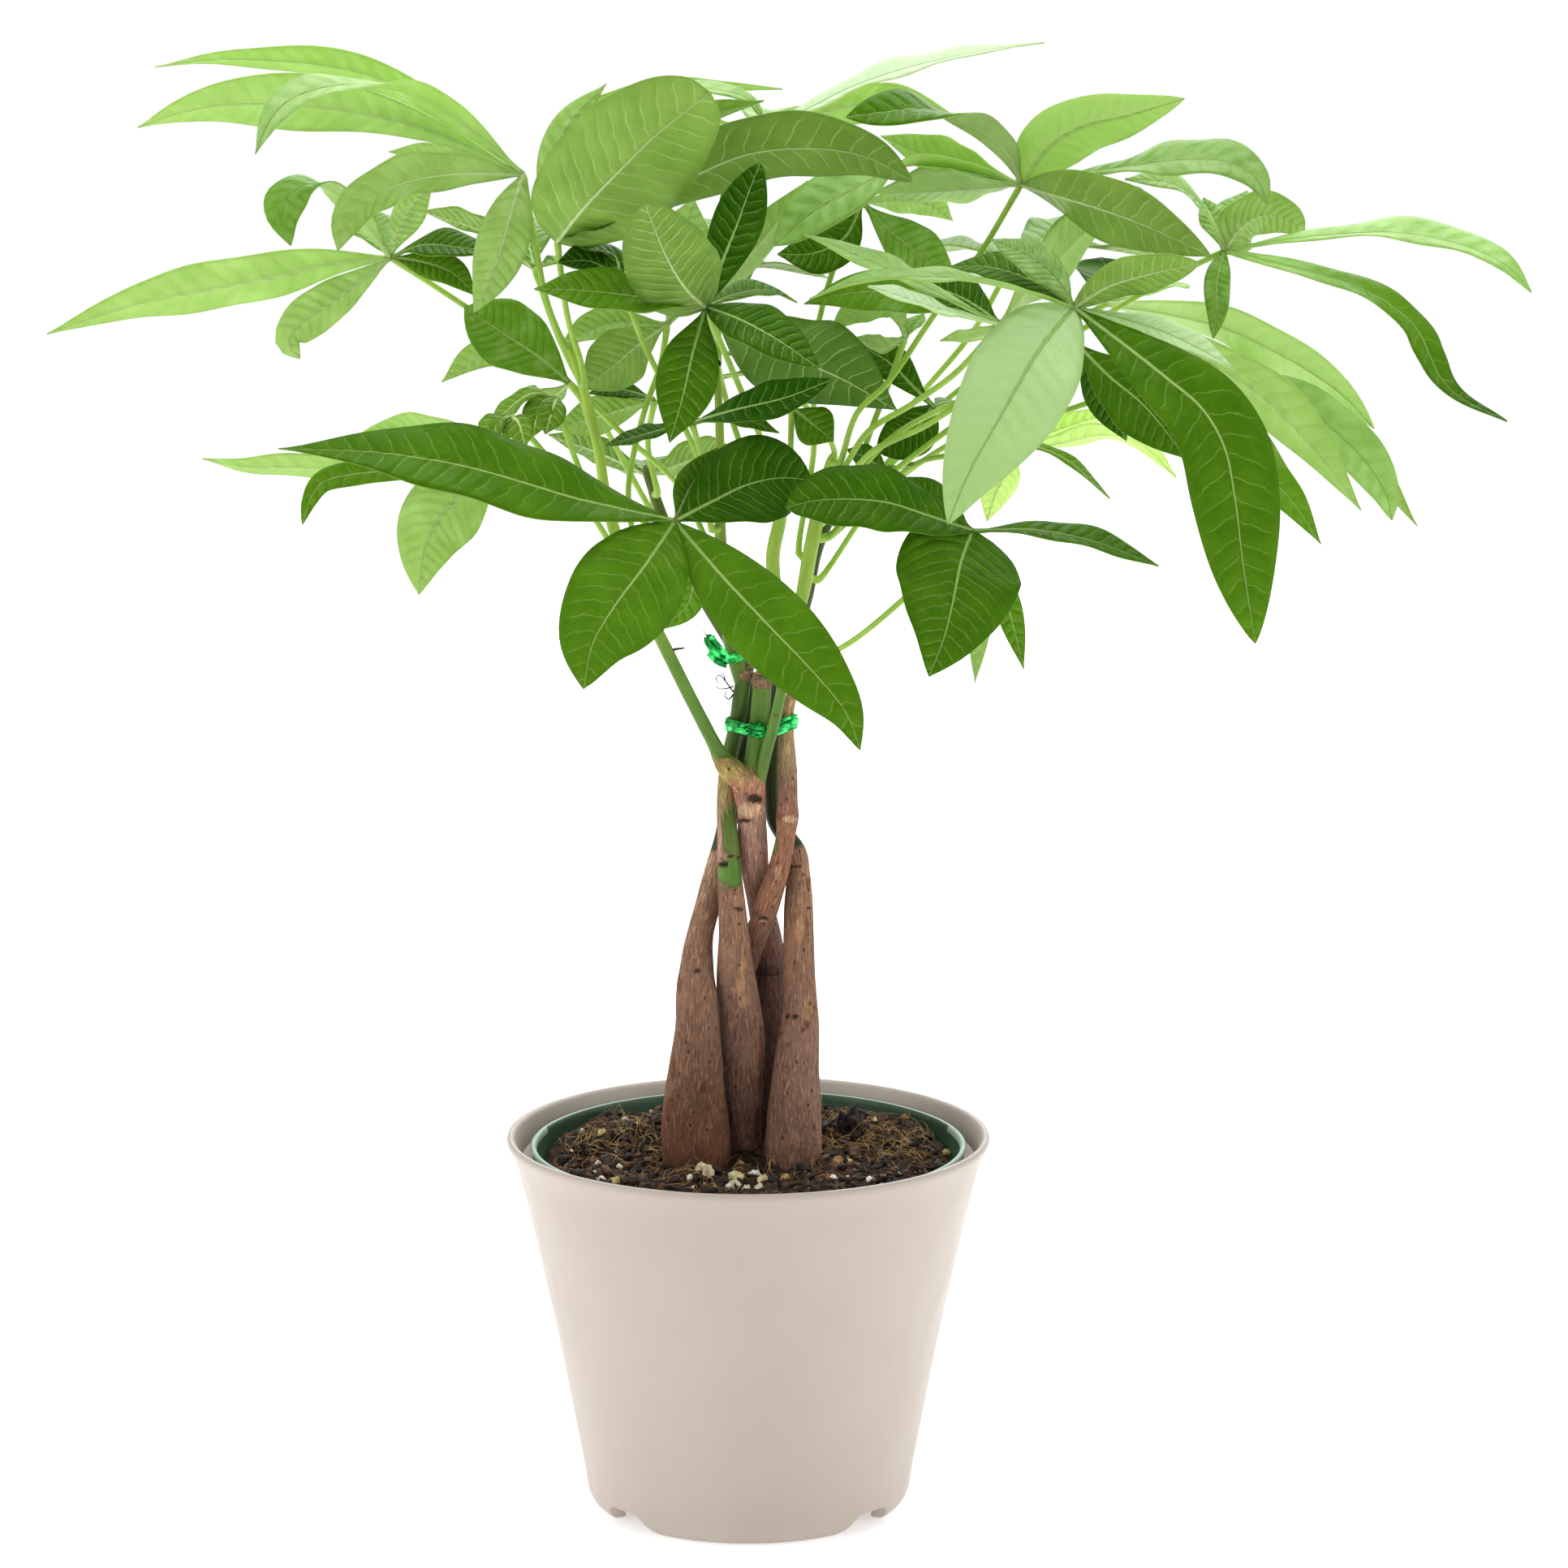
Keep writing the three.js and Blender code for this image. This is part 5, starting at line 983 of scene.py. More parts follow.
class Nodes:
    """Short calls for the nodes of one material. A value is a number, a colour or another node's output."""

    def __init__(self, name):
        self.material = bpy.data.materials.new(name)
        self.material.use_nodes = True
        self.tree = self.material.node_tree
        self.shader = self.tree.nodes["Principled BSDF"]
        self.output = self.tree.nodes["Material Output"]

    def put(self, socket, value):
        if isinstance(value, bpy.types.NodeSocket):
            self.tree.links.new(value, socket)
        else:
            socket.default_value = value

    def set(self, **values):
        """Sets the shader's inputs, named with _ for a blank, and returns the material."""
        for name, value in values.items():
            self.put(self.shader.inputs[name.replace("_", " ")], value)
        return self.material

    def node(self, kind, inputs, output=0, **settings):
        """A new node's output, after its settings and its inputs, by name or number, are filled in."""
        node = self.tree.nodes.new(f"ShaderNode{kind}")
        for name, setting in settings.items():
            setattr(node, name, setting)
        for key, value in inputs.items():
            self.put(node.inputs[key], value)
        return node.outputs[output]

    def math(self, operation, *values, clamp=False):
        return self.node("Math", dict(enumerate(values)), operation=operation, use_clamp=clamp)

    def total(self, *values):
        result = values[0]
        for value in values[1:]:
            result = self.math("ADD", result, value)
        return result

    def times(self, a, b):
        return self.math("MULTIPLY", a, b)

    def ramp(self, value, low, high, start=0.0, end=1.0):
        inputs = {"Value": value, "From Min": low, "From Max": high, "To Min": start, "To Max": end}
        return self.node("MapRange", inputs, "Result", interpolation_type="SMOOTHSTEP")

    def mix(self, share, a, b):
        """A colour between a and b. The node's colours are its inputs 6 and 7 and its output 2."""
        return self.node("Mix", {0: share, 6: a, 7: b}, 2, data_type="RGBA")

    def value(self, name, kind):
        """A per-vertex value as a Vector, a Color or a number, Fac."""
        return self.node("Attribute", {}, kind, attribute_name=name)

    def parts(self, vector):
        return self.node("SeparateXYZ", {0: vector}, slice(3))

    def stretched(self, vector, share):
        """A place whose height counts for less, which draws noise out along z."""
        return self.node("VectorMath", {0: vector, 1: (1.0, 1.0, share)}, operation="MULTIPLY")

    def scaled(self, vector, factor):
        return self.node("VectorMath", {0: vector, "Scale": factor}, operation="SCALE")

    def object_place(self):
        return self.node("TexCoord", {}, "Object")

    def noise(self, vector, scale, detail=4.0, roughness=0.55):
        inputs = {"Vector": vector, "Scale": scale, "Detail": detail, "Roughness": roughness}
        return self.node("TexNoise", inputs)

    def cells(self, vector, scale):
        return self.node("TexVoronoi", {"Vector": vector, "Scale": scale}, "Distance")

    def bump(self, height, distance):
        return self.node("Bump", {"Strength": 1.0, "Distance": distance, "Height": height})

    def let_through(self, share, colour, normal):
        """Lets part of the light through the sheet."""
        through = self.node("BsdfTranslucent", {"Color": colour, "Normal": normal})
        both = self.node("MixShader", {0: share, 1: self.shader.outputs[0], 2: through})
        self.put(self.output.inputs["Surface"], both)


def leaf_material(name, dark, middle, light, sheen, vein_colour, through_colour, relief, vein_share):
    """A leaf face: quilted between fine side veins that leave a pale midrib, read from the blade's values.

    vein holds the distances along and across the blade, in vein spacings, and the share of the half width.
    place holds the share of the length, a tone from 0 to 1 and over, and the vein spacing in millimetres.
    The tone paints shade into the colour, and over 1 a painted sheen and a painted glow.
    """
    m = Nodes(name)
    vein = m.value("vein", "Vector")
    along, across, edge = m.parts(vein)
    share, tone, spacing = m.parts(m.value("place", "Vector"))
    soft = m.noise(vein, 1.1, 2.0)
    forward = m.total(m.times(across, 0.5), m.times(m.times(across, across), 0.07))
    phase = m.total(m.math("SUBTRACT", along, forward), m.times(soft, 0.7))
    fraction = m.math("FRACT", phase)
    near = m.math("MINIMUM", fraction, m.math("SUBTRACT", 1.0, fraction))
    reach = m.times(near, spacing)
    side_veins = m.times(m.ramp(reach, 0.05, 0.32, 1.0, 0.0), m.ramp(edge, 0.55, 1.0, 1.0, 0.1))
    from_rib = m.times(across, spacing)
    rib_width = m.ramp(share, 0.0, 1.0, 0.6, 0.14)
    rib = m.ramp(m.math("DIVIDE", from_rib, rib_width), 0.5, 1.3, 1.0, 0.0)
    veins = m.math("MAXIMUM", m.times(rib, 0.85), m.times(side_veins, vein_share))
    blotch = m.noise(vein, 0.45, 3.0)
    fine = m.noise(vein, 6.0, 3.0)
    cloud = m.times(m.math("SUBTRACT", m.ramp(blotch, 0.3, 0.7), 0.5), 0.22)
    # The tone and its blotches run the colour from dark to light: painted shade and light.
    depth = m.total(tone, m.times(cloud, m.total(tone, 0.35)), m.times(m.math("SUBTRACT", fine, 0.5), 0.16))
    twice = m.times(depth, 2.0)
    flesh = m.mix(m.math("ADD", twice, 0.0, clamp=True), rgb(dark), rgb(middle))
    flesh = m.mix(m.math("SUBTRACT", twice, 1.0, clamp=True), flesh, rgb(light))
    # Painted sheen: tones over 1 fade the colour towards the pale sheen colour.
    flesh = m.mix(m.ramp(tone, 1.0, 1.6), flesh, rgb(sheen))
    colour = m.mix(veins, flesh, rgb(vein_colour))
    quilt = m.times(m.ramp(near, 0.0, 0.5), m.ramp(edge, 0.7, 1.0, 1.0, 0.2))
    height = m.total(quilt, m.times(fine, 0.15), m.times(rib, -0.8))
    normal = m.bump(m.times(height, relief), 0.0009)
    m.set(
        Base_Color=colour,
        Roughness=0.42,
        Specular_IOR_Level=m.ramp(tone, 0.1, 1.0, 0.14, 0.4),
        Specular_Tint=m.mix(m.ramp(tone, 0.2, 0.8), rgb("#d8f070"), rgb("#ffffff")),
        # Painted glow: tones over 1.3 make the leaf give off its own colour, as if lit through from behind.
        Emission_Color=colour,
        Emission_Strength=m.ramp(tone, 1.3, 2.0, 0.0, 0.3),
        Normal=normal,
    )
    lit = m.mix(m.times(m.math("MAXIMUM", rib, side_veins), 0.55), rgb(through_colour), rgb(THROUGH_VEINS))
    m.let_through(m.ramp(tone, 0.0, 1.0, 0.12, 0.5), lit, normal)
    return m.material


def mottled_material(name, dark, light, patches, levels, skin, depth, **values):
    """Two mottled colours under an uneven skin. patches and skin are the scale and detail of their noise."""
    m = Nodes(name)
    place = m.object_place()
    shade = m.ramp(m.noise(place, *patches), *levels)
    return m.set(
        Base_Color=m.mix(shade, rgb(dark), rgb(light)),
        Normal=m.bump(m.noise(place, *skin), depth),
        **values,
    )


def speck_material(name, dark, light):
    """One kind of grain, chip or fibre, varied from piece to piece by place."""
    return mottled_material(
        name, dark, light, (220.0, 5.0), (0.35, 0.65), (1500.0, 3.0), 0.0003, Roughness=0.8
    )


def bark_material():
    """Fibrous bark in each place's own hue, with pale streaks, dark gaps and pores, or a green shoot.

    hue is a colour, darkened as painted shade low on the trunks and on shaded shoots, and smooth goes from 0
    on old bark to 1 on a shoot.
    """
    m = Nodes("bark")
    grain = m.value("grain", "Vector")
    hue = m.value("hue", "Color")
    smooth_share = m.value("smooth", "Fac")
    rough_share = m.math("SUBTRACT", 1.0, smooth_share)
    long_grain = m.stretched(grain, 0.2)
    fibres = m.noise(long_grain, 1.45, 3.0, 0.62)
    threads = m.noise(m.stretched(grain, 0.13), 1.9, 3.0, 0.6)
    broad = m.noise(m.stretched(grain, 0.5), 0.14, 4.0, 0.6)
    pores = m.ramp(m.cells(m.stretched(grain, 0.7), 0.34), 0.1, 0.15, 1.0, 0.0)
    specks = m.ramp(m.cells(m.stretched(grain, 0.7), 0.26), 0.045, 0.085, 1.0, 0.0)
    rust = m.ramp(m.noise(m.stretched(grain, 0.35), 0.3, 3.0, 0.7), 0.62, 0.74)
    bark = m.scaled(hue, m.ramp(broad, 0.32, 0.68, 0.78, 1.16))
    bark = m.mix(m.times(m.ramp(fibres, 0.52, 0.62), 0.64), bark, m.scaled(hue, 1.9))
    bark = m.mix(m.times(m.ramp(threads, 0.4, 0.48, 1.0, 0.0), 0.55), bark, m.scaled(hue, 0.4))
    bark = m.mix(m.times(rust, 0.35), bark, rgb("#a4582f"))
    bark = m.mix(m.times(pores, 0.75), bark, m.scaled(hue, 0.16))
    shoot = m.scaled(hue, m.ramp(m.noise(long_grain, 0.25, 3.0), 0.3, 0.7, 0.8, 1.15))
    shoot = m.mix(m.times(m.ramp(fibres, 0.5, 0.75), 0.2), shoot, m.scaled(hue, 1.6))
    shoot = m.mix(m.times(specks, 0.6), shoot, rgb("#4a3a22"))
    height = m.total(fibres, m.times(threads, 0.7), m.times(pores, -0.6))
    return m.set(
        Base_Color=m.mix(smooth_share, bark, shoot),
        Roughness=m.ramp(smooth_share, 0.0, 1.0, 0.8, 0.42),
        Specular_IOR_Level=m.ramp(smooth_share, 0.0, 1.0, 0.25, 0.22),
        Normal=m.bump(m.times(height, m.total(m.times(rough_share, 0.9), 0.06)), 0.0012),
    )


def plastic_material(name, colour, shade, roughness, grain, glow=0.0):
    """Moulded plastic: almost even, with a faint cloudiness and a very fine skin, and a painted glow where
    glow is given.
    """
    m = Nodes(name)
    place = m.object_place()
    cloud = m.noise(place, 18.0, 3.0)
    skin = m.noise(place, 2600.0, 2.0)
    worn = m.noise(m.stretched(place, 0.15), 160.0, 3.0)
    even = m.mix(m.ramp(cloud, 0.3, 0.7), rgb(colour), rgb(shade))
    return m.set(
        Base_Color=even,
        Emission_Color=even,
        Emission_Strength=glow,
        Roughness=m.ramp(worn, 0.25, 0.75, roughness - 0.05, roughness + 0.06),
        Normal=m.bump(skin, grain),
    )


def soil_material():
    """Dark potting mix with brown crumbs and a little moss."""
    m = Nodes("soil")
    place = m.object_place()
    clods = m.noise(place, 130.0, 6.0, 0.7)
    crumbs = m.noise(place, 900.0, 4.0, 0.7)
    colour = m.mix(m.ramp(clods, 0.42, 0.68), rgb("#22160e"), rgb("#5c3c24"))
    colour = m.mix(m.times(m.ramp(crumbs, 0.57, 0.7), 0.6), colour, rgb("#7a5230"))
    moss = m.ramp(m.noise(place, 45.0, 4.0), 0.6, 0.72)
    colour = m.mix(m.times(moss, 0.4), colour, rgb("#6a6430"))
    return m.set(Base_Color=colour, Roughness=0.95, Normal=m.bump(m.total(clods, crumbs), 0.0012))


LEAF_TOP = leaf_material(
    "leaf_top", "#1c4c02", "#5b8a16", "#bddb94", "#e3eeda", "#a9c974", "#a8d444", 0.5, 0.24
)
LEAF_UNDER = leaf_material(
    "leaf_under", "#4b7024", "#8aad4f", "#bfdb8c", "#dcebbc", "#cfe4a2", "#d3ea94", 0.35, 0.4
)
YOUNG_TOP = leaf_material(
    "young_leaf_top", "#4f7c18", "#94bb4a", "#cdf17c", "#ecf8c0", "#e0f4a4", "#e7ff95", 0.4, 0.25
)
YOUNG_UNDER = leaf_material(
    "young_leaf_under", "#5c8626", "#98bd50", "#cdf17c", "#ecf8c0", "#e2f6ac", "#e7ff95", 0.4, 0.25
)
STALK = mottled_material(
    "stalk", "#84a838", "#a0c054", (90.0, 3.0), (0.35, 0.75), (900.0, 2.0), 0.0001,
    Roughness=0.42, Specular_IOR_Level=0.25,
)
BARK = bark_material()
CUT_WOOD = mottled_material(
    "cut_wood", "#5d4636", "#a08a6c", (700.0, 4.0), (0.35, 0.65), (700.0, 4.0), 0.0003, Roughness=0.85
)
# The foil's dark and light green mottle is painted crease shade and painted highlights.
FOIL = mottled_material(
    "tie_foil", "#067a30", "#44e478", (300.0, 3.0), (0.44, 0.58), (420.0, 1.0), 0.0007,
    Roughness=0.22, Metallic=0.7,
)


# Pots.


def notch_height(angle):
    """How high the foot ring is cut away at an angle from the front, in degrees."""
    cut = 0.0
    for middle in NOTCH_ANGLES:
        off = abs((angle - middle + 180) % 360 - 180)
        closed = smoothstep(off, NOTCH_HALF_WIDTH - NOTCH_SHOULDER, NOTCH_HALF_WIDTH + NOTCH_SHOULDER)
        cut = max(cut, NOTCH_HEIGHT * (1 - closed))
    return cut


def pot_curve(rows, steps):
    """Points at equal steps on the curve through rows of [radius, height]."""
    return smooth(np.array([[r, h, 0.0] for r, h in rows]), steps)[0][:, :2]


def cover_pot():
    """The outer pot, turned from its profile, with notches in its foot ring."""
    wall = pot_curve(COVER_OUTSIDE, 90)
    wall = wall[np.argmax(wall[:, 1] > FOOT_TOP + 0.3) :]
    low_wall = [row for row in COVER_OUTSIDE if FOOT_CORNER[-1][1] < row[1] < LOW_WALL_TOP]
    corner = pot_curve(FOOT_CORNER + low_wall, 80)
    inside = pot_curve([COVER_OUTSIDE[-1]] + COVER_INSIDE, 40)[1:]
    angles = np.linspace(-180, 180, POT_COLUMNS, endpoint=False)
    # A column runs from the middle of the underside over the foot, up the outside and down the inside.
    columns = []
    for angle in angles:
        cut = notch_height(angle)
        heights = cut + (FOOT_TOP - cut) * np.linspace(0, 1, FOOT_ROWS) ** 1.5
        outside = np.stack([np.interp(heights, corner[:, 1], corner[:, 0]), heights], axis=1)
        outside[0, 0] -= 0.25
        inner_foot = np.interp(cut, *FOOT_INSIDE)
        boss = [[0, 0], [FOOT_BOSS, 0], [FOOT_BOSS + 1, FLOOR_UNDERSIDE]]
        floor = [[np.interp(h, *FOOT_INSIDE), h] for h in (FLOOR_UNDERSIDE, 7, 6.4)]
        foot = [[inner_foot + 0.3, cut + 0.25], [inner_foot + 0.8, cut]]
        columns.append(np.vstack([boss, floor, foot, outside, wall, inside, [[0, COVER_INSIDE[-1][1]]]]))
    profile = np.array(columns)
    turn = np.radians(angles)[:, None]
    across, height = profile[:, :, 0], profile[:, :, 1]
    positions = np.stack([across * np.sin(turn), -across * np.cos(turn), height], axis=2)
    faces = grid_faces(positions.shape[1], POT_COLUMNS, closed=True)
    first_inside = positions.shape[1] - len(inside) - 1
    slots = [int(i // POT_COLUMNS >= first_inside) for i in range(len(faces))]
    piece = Piece()
    piece.add(positions.transpose(1, 0, 2).reshape(-1, 3) * MM, faces, slots)
    outer = plastic_material("cover_pot", "#b2a69c", "#aea298", 0.42, 0.00004)
    # The pot's inside is a lighter copy of the same plastic that also glows: painted light where the inside
    # lies in shade.
    inner = plastic_material("cover_pot_inside_lit", "#dccfc4", "#d6c9be", 0.5, 0.00004, 0.28)
    piece.build("cover_pot_shell", [outer, inner], "cover_pot", ["cover_pot"])


def nursery_pot():
    """The grower's pot, whose rim is light but for the inside at the back, painted with the dark wall's
    colour as shade.
    """
    columns = NURSERY_COLUMNS
    corners = np.array(NURSERY, float)
    points = [corners[0]]
    for a, b in zip(corners[:-1], corners[1:]):
        steps = max(1, int(np.linalg.norm(b - a) / NURSERY_STEP))
        points += [a + (b - a) * (k + 1) / steps for k in range(steps)]
    points = np.array(points)
    angles = np.linspace(0, 2 * np.pi, columns, endpoint=False)
    rings = [
        np.stack([r * np.cos(angles), r * np.sin(angles), np.full(columns, h + NURSERY_BOTTOM)], axis=1)
        for r, h in points
    ]
    faces = grid_faces(len(points), columns, closed=True)
    low_end = np.minimum(points[:-1, 1], points[1:, 1])
    inner = np.arange(len(points) - 1) > np.argmax(points[:, 1])
    behind = np.sin(angles) > NURSERY_DARK_BEHIND
    # Rim faces are light, but inside at the back they take the dark wall material: painted shade.
    slots = [
        int(low_end[i // columns] > NURSERY_RIM and not (inner[i // columns] and behind[i % columns]))
        for i in range(len(faces))
    ]
    piece = Piece()
    piece.add(np.vstack(rings) * MM, faces, slots)
    wall = plastic_material("nursery_pot", "#27472f", "#2f5238", 0.5, 0.0001)
    rim = plastic_material("nursery_rim", "#8fa99a", "#9ab3a4", 0.45, 0.0001)
    piece.build("nursery_pot_shell", [wall, rim], "nursery_pot", ["nursery_pot"])


# Soil.


def swell(x, y, waves):
    """How far the waves rise, in millimetres, at x and y in metres."""
    return sum(high * noise.noise(Vector((x * scale, y * scale, seed))) for high, scale, seed in waves)


def soil_height(x, y):
    """Height of the mounded soil under x and y, all in metres, without its crumbs."""
    out = min(math.hypot(x, y) / (SOIL_RADIUS * MM), 1)
    mound = SOIL_EDGE + (SOIL_CROWN - SOIL_EDGE) * (1 - out * out)
    behind = float(smoothstep(y / MM, -4, 34)) * SOIL_BACK_RISE
    humps = sum(
        high * math.exp(-(((x / MM - across) / reach) ** 2) - ((y / MM - deep) / reach) ** 2)
        for across, deep, reach, high in SOIL_HUMPS
    )
    return (mound + behind + humps + swell(x, y, SOIL_WAVES)) * MM


def soil():
    """The potting mix in the grower's pot, crumbly on top."""
    turns = [2 * math.pi * c / SOIL_COLUMNS for c in range(SOIL_COLUMNS)]
    positions = []
    for r in range(SOIL_RINGS):
        radius = SOIL_RADIUS * MM * (r / (SOIL_RINGS - 1)) ** 0.8
        for turn in turns:
            x, y = radius * math.cos(turn), radius * math.sin(turn)
            positions.append((x, y, soil_height(x, y) + swell(x, y, SOIL_CRUMBS) * MM))
    for radius, height in SOIL_SIDE:
        for turn in turns:
            positions.append((radius * MM * math.cos(turn), radius * MM * math.sin(turn), height * MM))
    piece = Piece()
    piece.add(positions, grid_faces(SOIL_RINGS + len(SOIL_SIDE), SOIL_COLUMNS, closed=True))
    piece.build("soil_mix", [soil_material()], "soil", ["soil"])


def on_soil(x, z):
    """The place on the soil that is seen at x and z, in millimetres, as a position in metres."""
    for level in np.arange(SOIL_TOP, SOIL_FLOOR, -0.2):
        far = (EYE[2] - level) / (EYE[2] - z)
        place = ((EYE[0] + (x - EYE[0]) * far) * MM, (far - 1) * -EYE[1] * MM)
        if soil_height(*place) > level * MM:
            break
    return place


def lump(rng, centre, halves, bumpiness, detail):
    """A rounded, irregular grain."""
    ball = bmesh.new()
    bmesh.ops.create_icosphere(ball, subdivisions=detail, radius=1)
    turn = rng.uniform(0, math.tau)
    tilt = rng.uniform(-0.5, 0.5)
    seed = rng.uniform(0, 100)
    positions = []
    for vertex in ball.verts:
        direction = vertex.co
        reach = 1 + bumpiness * noise.noise(direction * 1.9 + Vector((seed, seed, seed)))
        x, y, z = (direction[k] * reach * halves[k] * MM for k in range(3))
        x, z = x * math.cos(tilt) - z * math.sin(tilt), x * math.sin(tilt) + z * math.cos(tilt)
        x, y = x * math.cos(turn) - y * math.sin(turn), x * math.sin(turn) + y * math.cos(turn)
        positions.append((centre[0] + x, centre[1] + y, centre[2] + z))
    faces = [tuple(v.index for v in face.verts) for face in ball.faces]
    ball.free()
    return np.array(positions), faces


def soil_grains():
    """Stones and perlite where they are seen, and small grains all over the soil."""
    rng = random.Random(12)
    kinds = {name: Piece() for name in GRAIN_COLOURS}
    for x, z, wide, deep, high, kind in STONES:
        px, py = on_soil(x, z - high * STONE_STANDS)
        centre = (px, py, soil_height(px, py) + high * STONE_STANDS * MM)
        bumps = CLOD_BUMPS if kind == "black" else STONE_BUMPS
        positions, faces = lump(rng, centre, (wide, deep, high), bumps, 3)
        kinds[kind].add(positions, faces)
    for kind, count, least, most in SCATTER:
        for _ in range(count):
            turn = rng.uniform(0, math.tau)
            out = (SOIL_RADIUS - 2) * MM * math.sqrt(rng.random())
            px, py = out * math.cos(turn), out * math.sin(turn)
            size = least + (most - least) * rng.random() ** 2
            centre = (px, py, soil_height(px, py) + size * 0.3 * MM)
            halves = [size * rng.uniform(*limits) for limits in GRAIN_SHAPE]
            positions, faces = lump(rng, centre, halves, GRAIN_BUMPS, 2 if size > 0.7 else 1)
            kinds[kind].add(positions, faces)
    for kind, piece in kinds.items():
        material = speck_material(f"grain_{kind}", *GRAIN_COLOURS[kind])
        piece.build(f"soil_grains_{kind}", [material], "soil")


def soil_fibres():
    """Curved fibres that lie on the soil in clumps."""
    rng = random.Random(31)
    piece = Piece()
    for x, z, spread, count in FIBRE_CLUMPS:
        for _ in range(count):
            px, py = on_soil(x + rng.gauss(0, spread), z + rng.gauss(0, spread * 0.35))
            if math.hypot(px, py) > (SOIL_RADIUS - 3) * MM:
                continue
            heading = rng.uniform(0, math.tau)
            length = rng.uniform(*FIBRE_LENGTH) * MM
            high = 1 + 5 * rng.random() ** 3
            points = []
            for k in range(5):
                part = k / 4
                heading += rng.uniform(-0.7, 0.7)
                px += math.cos(heading) * length / 4
                py += math.sin(heading) * length / 4
                rise = high * math.sin(math.pi * part) * rng.uniform(0.4, 1) + 0.2
                points.append([px, py, soil_height(px, py) + rise * MM])
            if math.hypot(px, py) > (SOIL_RADIUS - 1) * MM:
                continue
            thread(piece, np.array(points), 10, 4, rng.uniform(*FIBRE_RADIUS), 0.4)
    piece.build("soil_fibres", [speck_material("fibre", "#4c3414", "#cfaa6c")], "soil")


# Trunks.


def repeated(values, ring, times):
    """The values of one ring of vertices, repeated for a number of rings."""
    return {
        name: np.tile(value[ring], (times, 1) if value.ndim == 2 else times)
        for name, value in values.items()
    }


def mark(trunk, index, positions, facing, torn, hue, shoot):
    """Draws the marks of a limb into its hue and its share of shoot, and returns how far they stand out."""
    seen_x, seen_z = look_at_plane(positions)
    relief = np.zeros(len(positions))
    for name, limb_index, x, z, width, height, kind in BARK_MARKS:
        if (name, limb_index) != (trunk, index):
            continue
        code, lift, is_shoot = MARK_KINDS[kind]
        off = np.hypot((seen_x - x) / (width / 2), (seen_z - z) / (height / 2))
        off += torn * MARK_TEARS.get(kind, 1)
        share = np.where(facing, 1 - smoothstep(off, *MARK_EDGE), 0)
        hue += (np.array(rgb(code)[:3]) - hue) * share[:, None]
        shoot += (is_shoot - shoot) * share
        relief += lift * share
    return relief


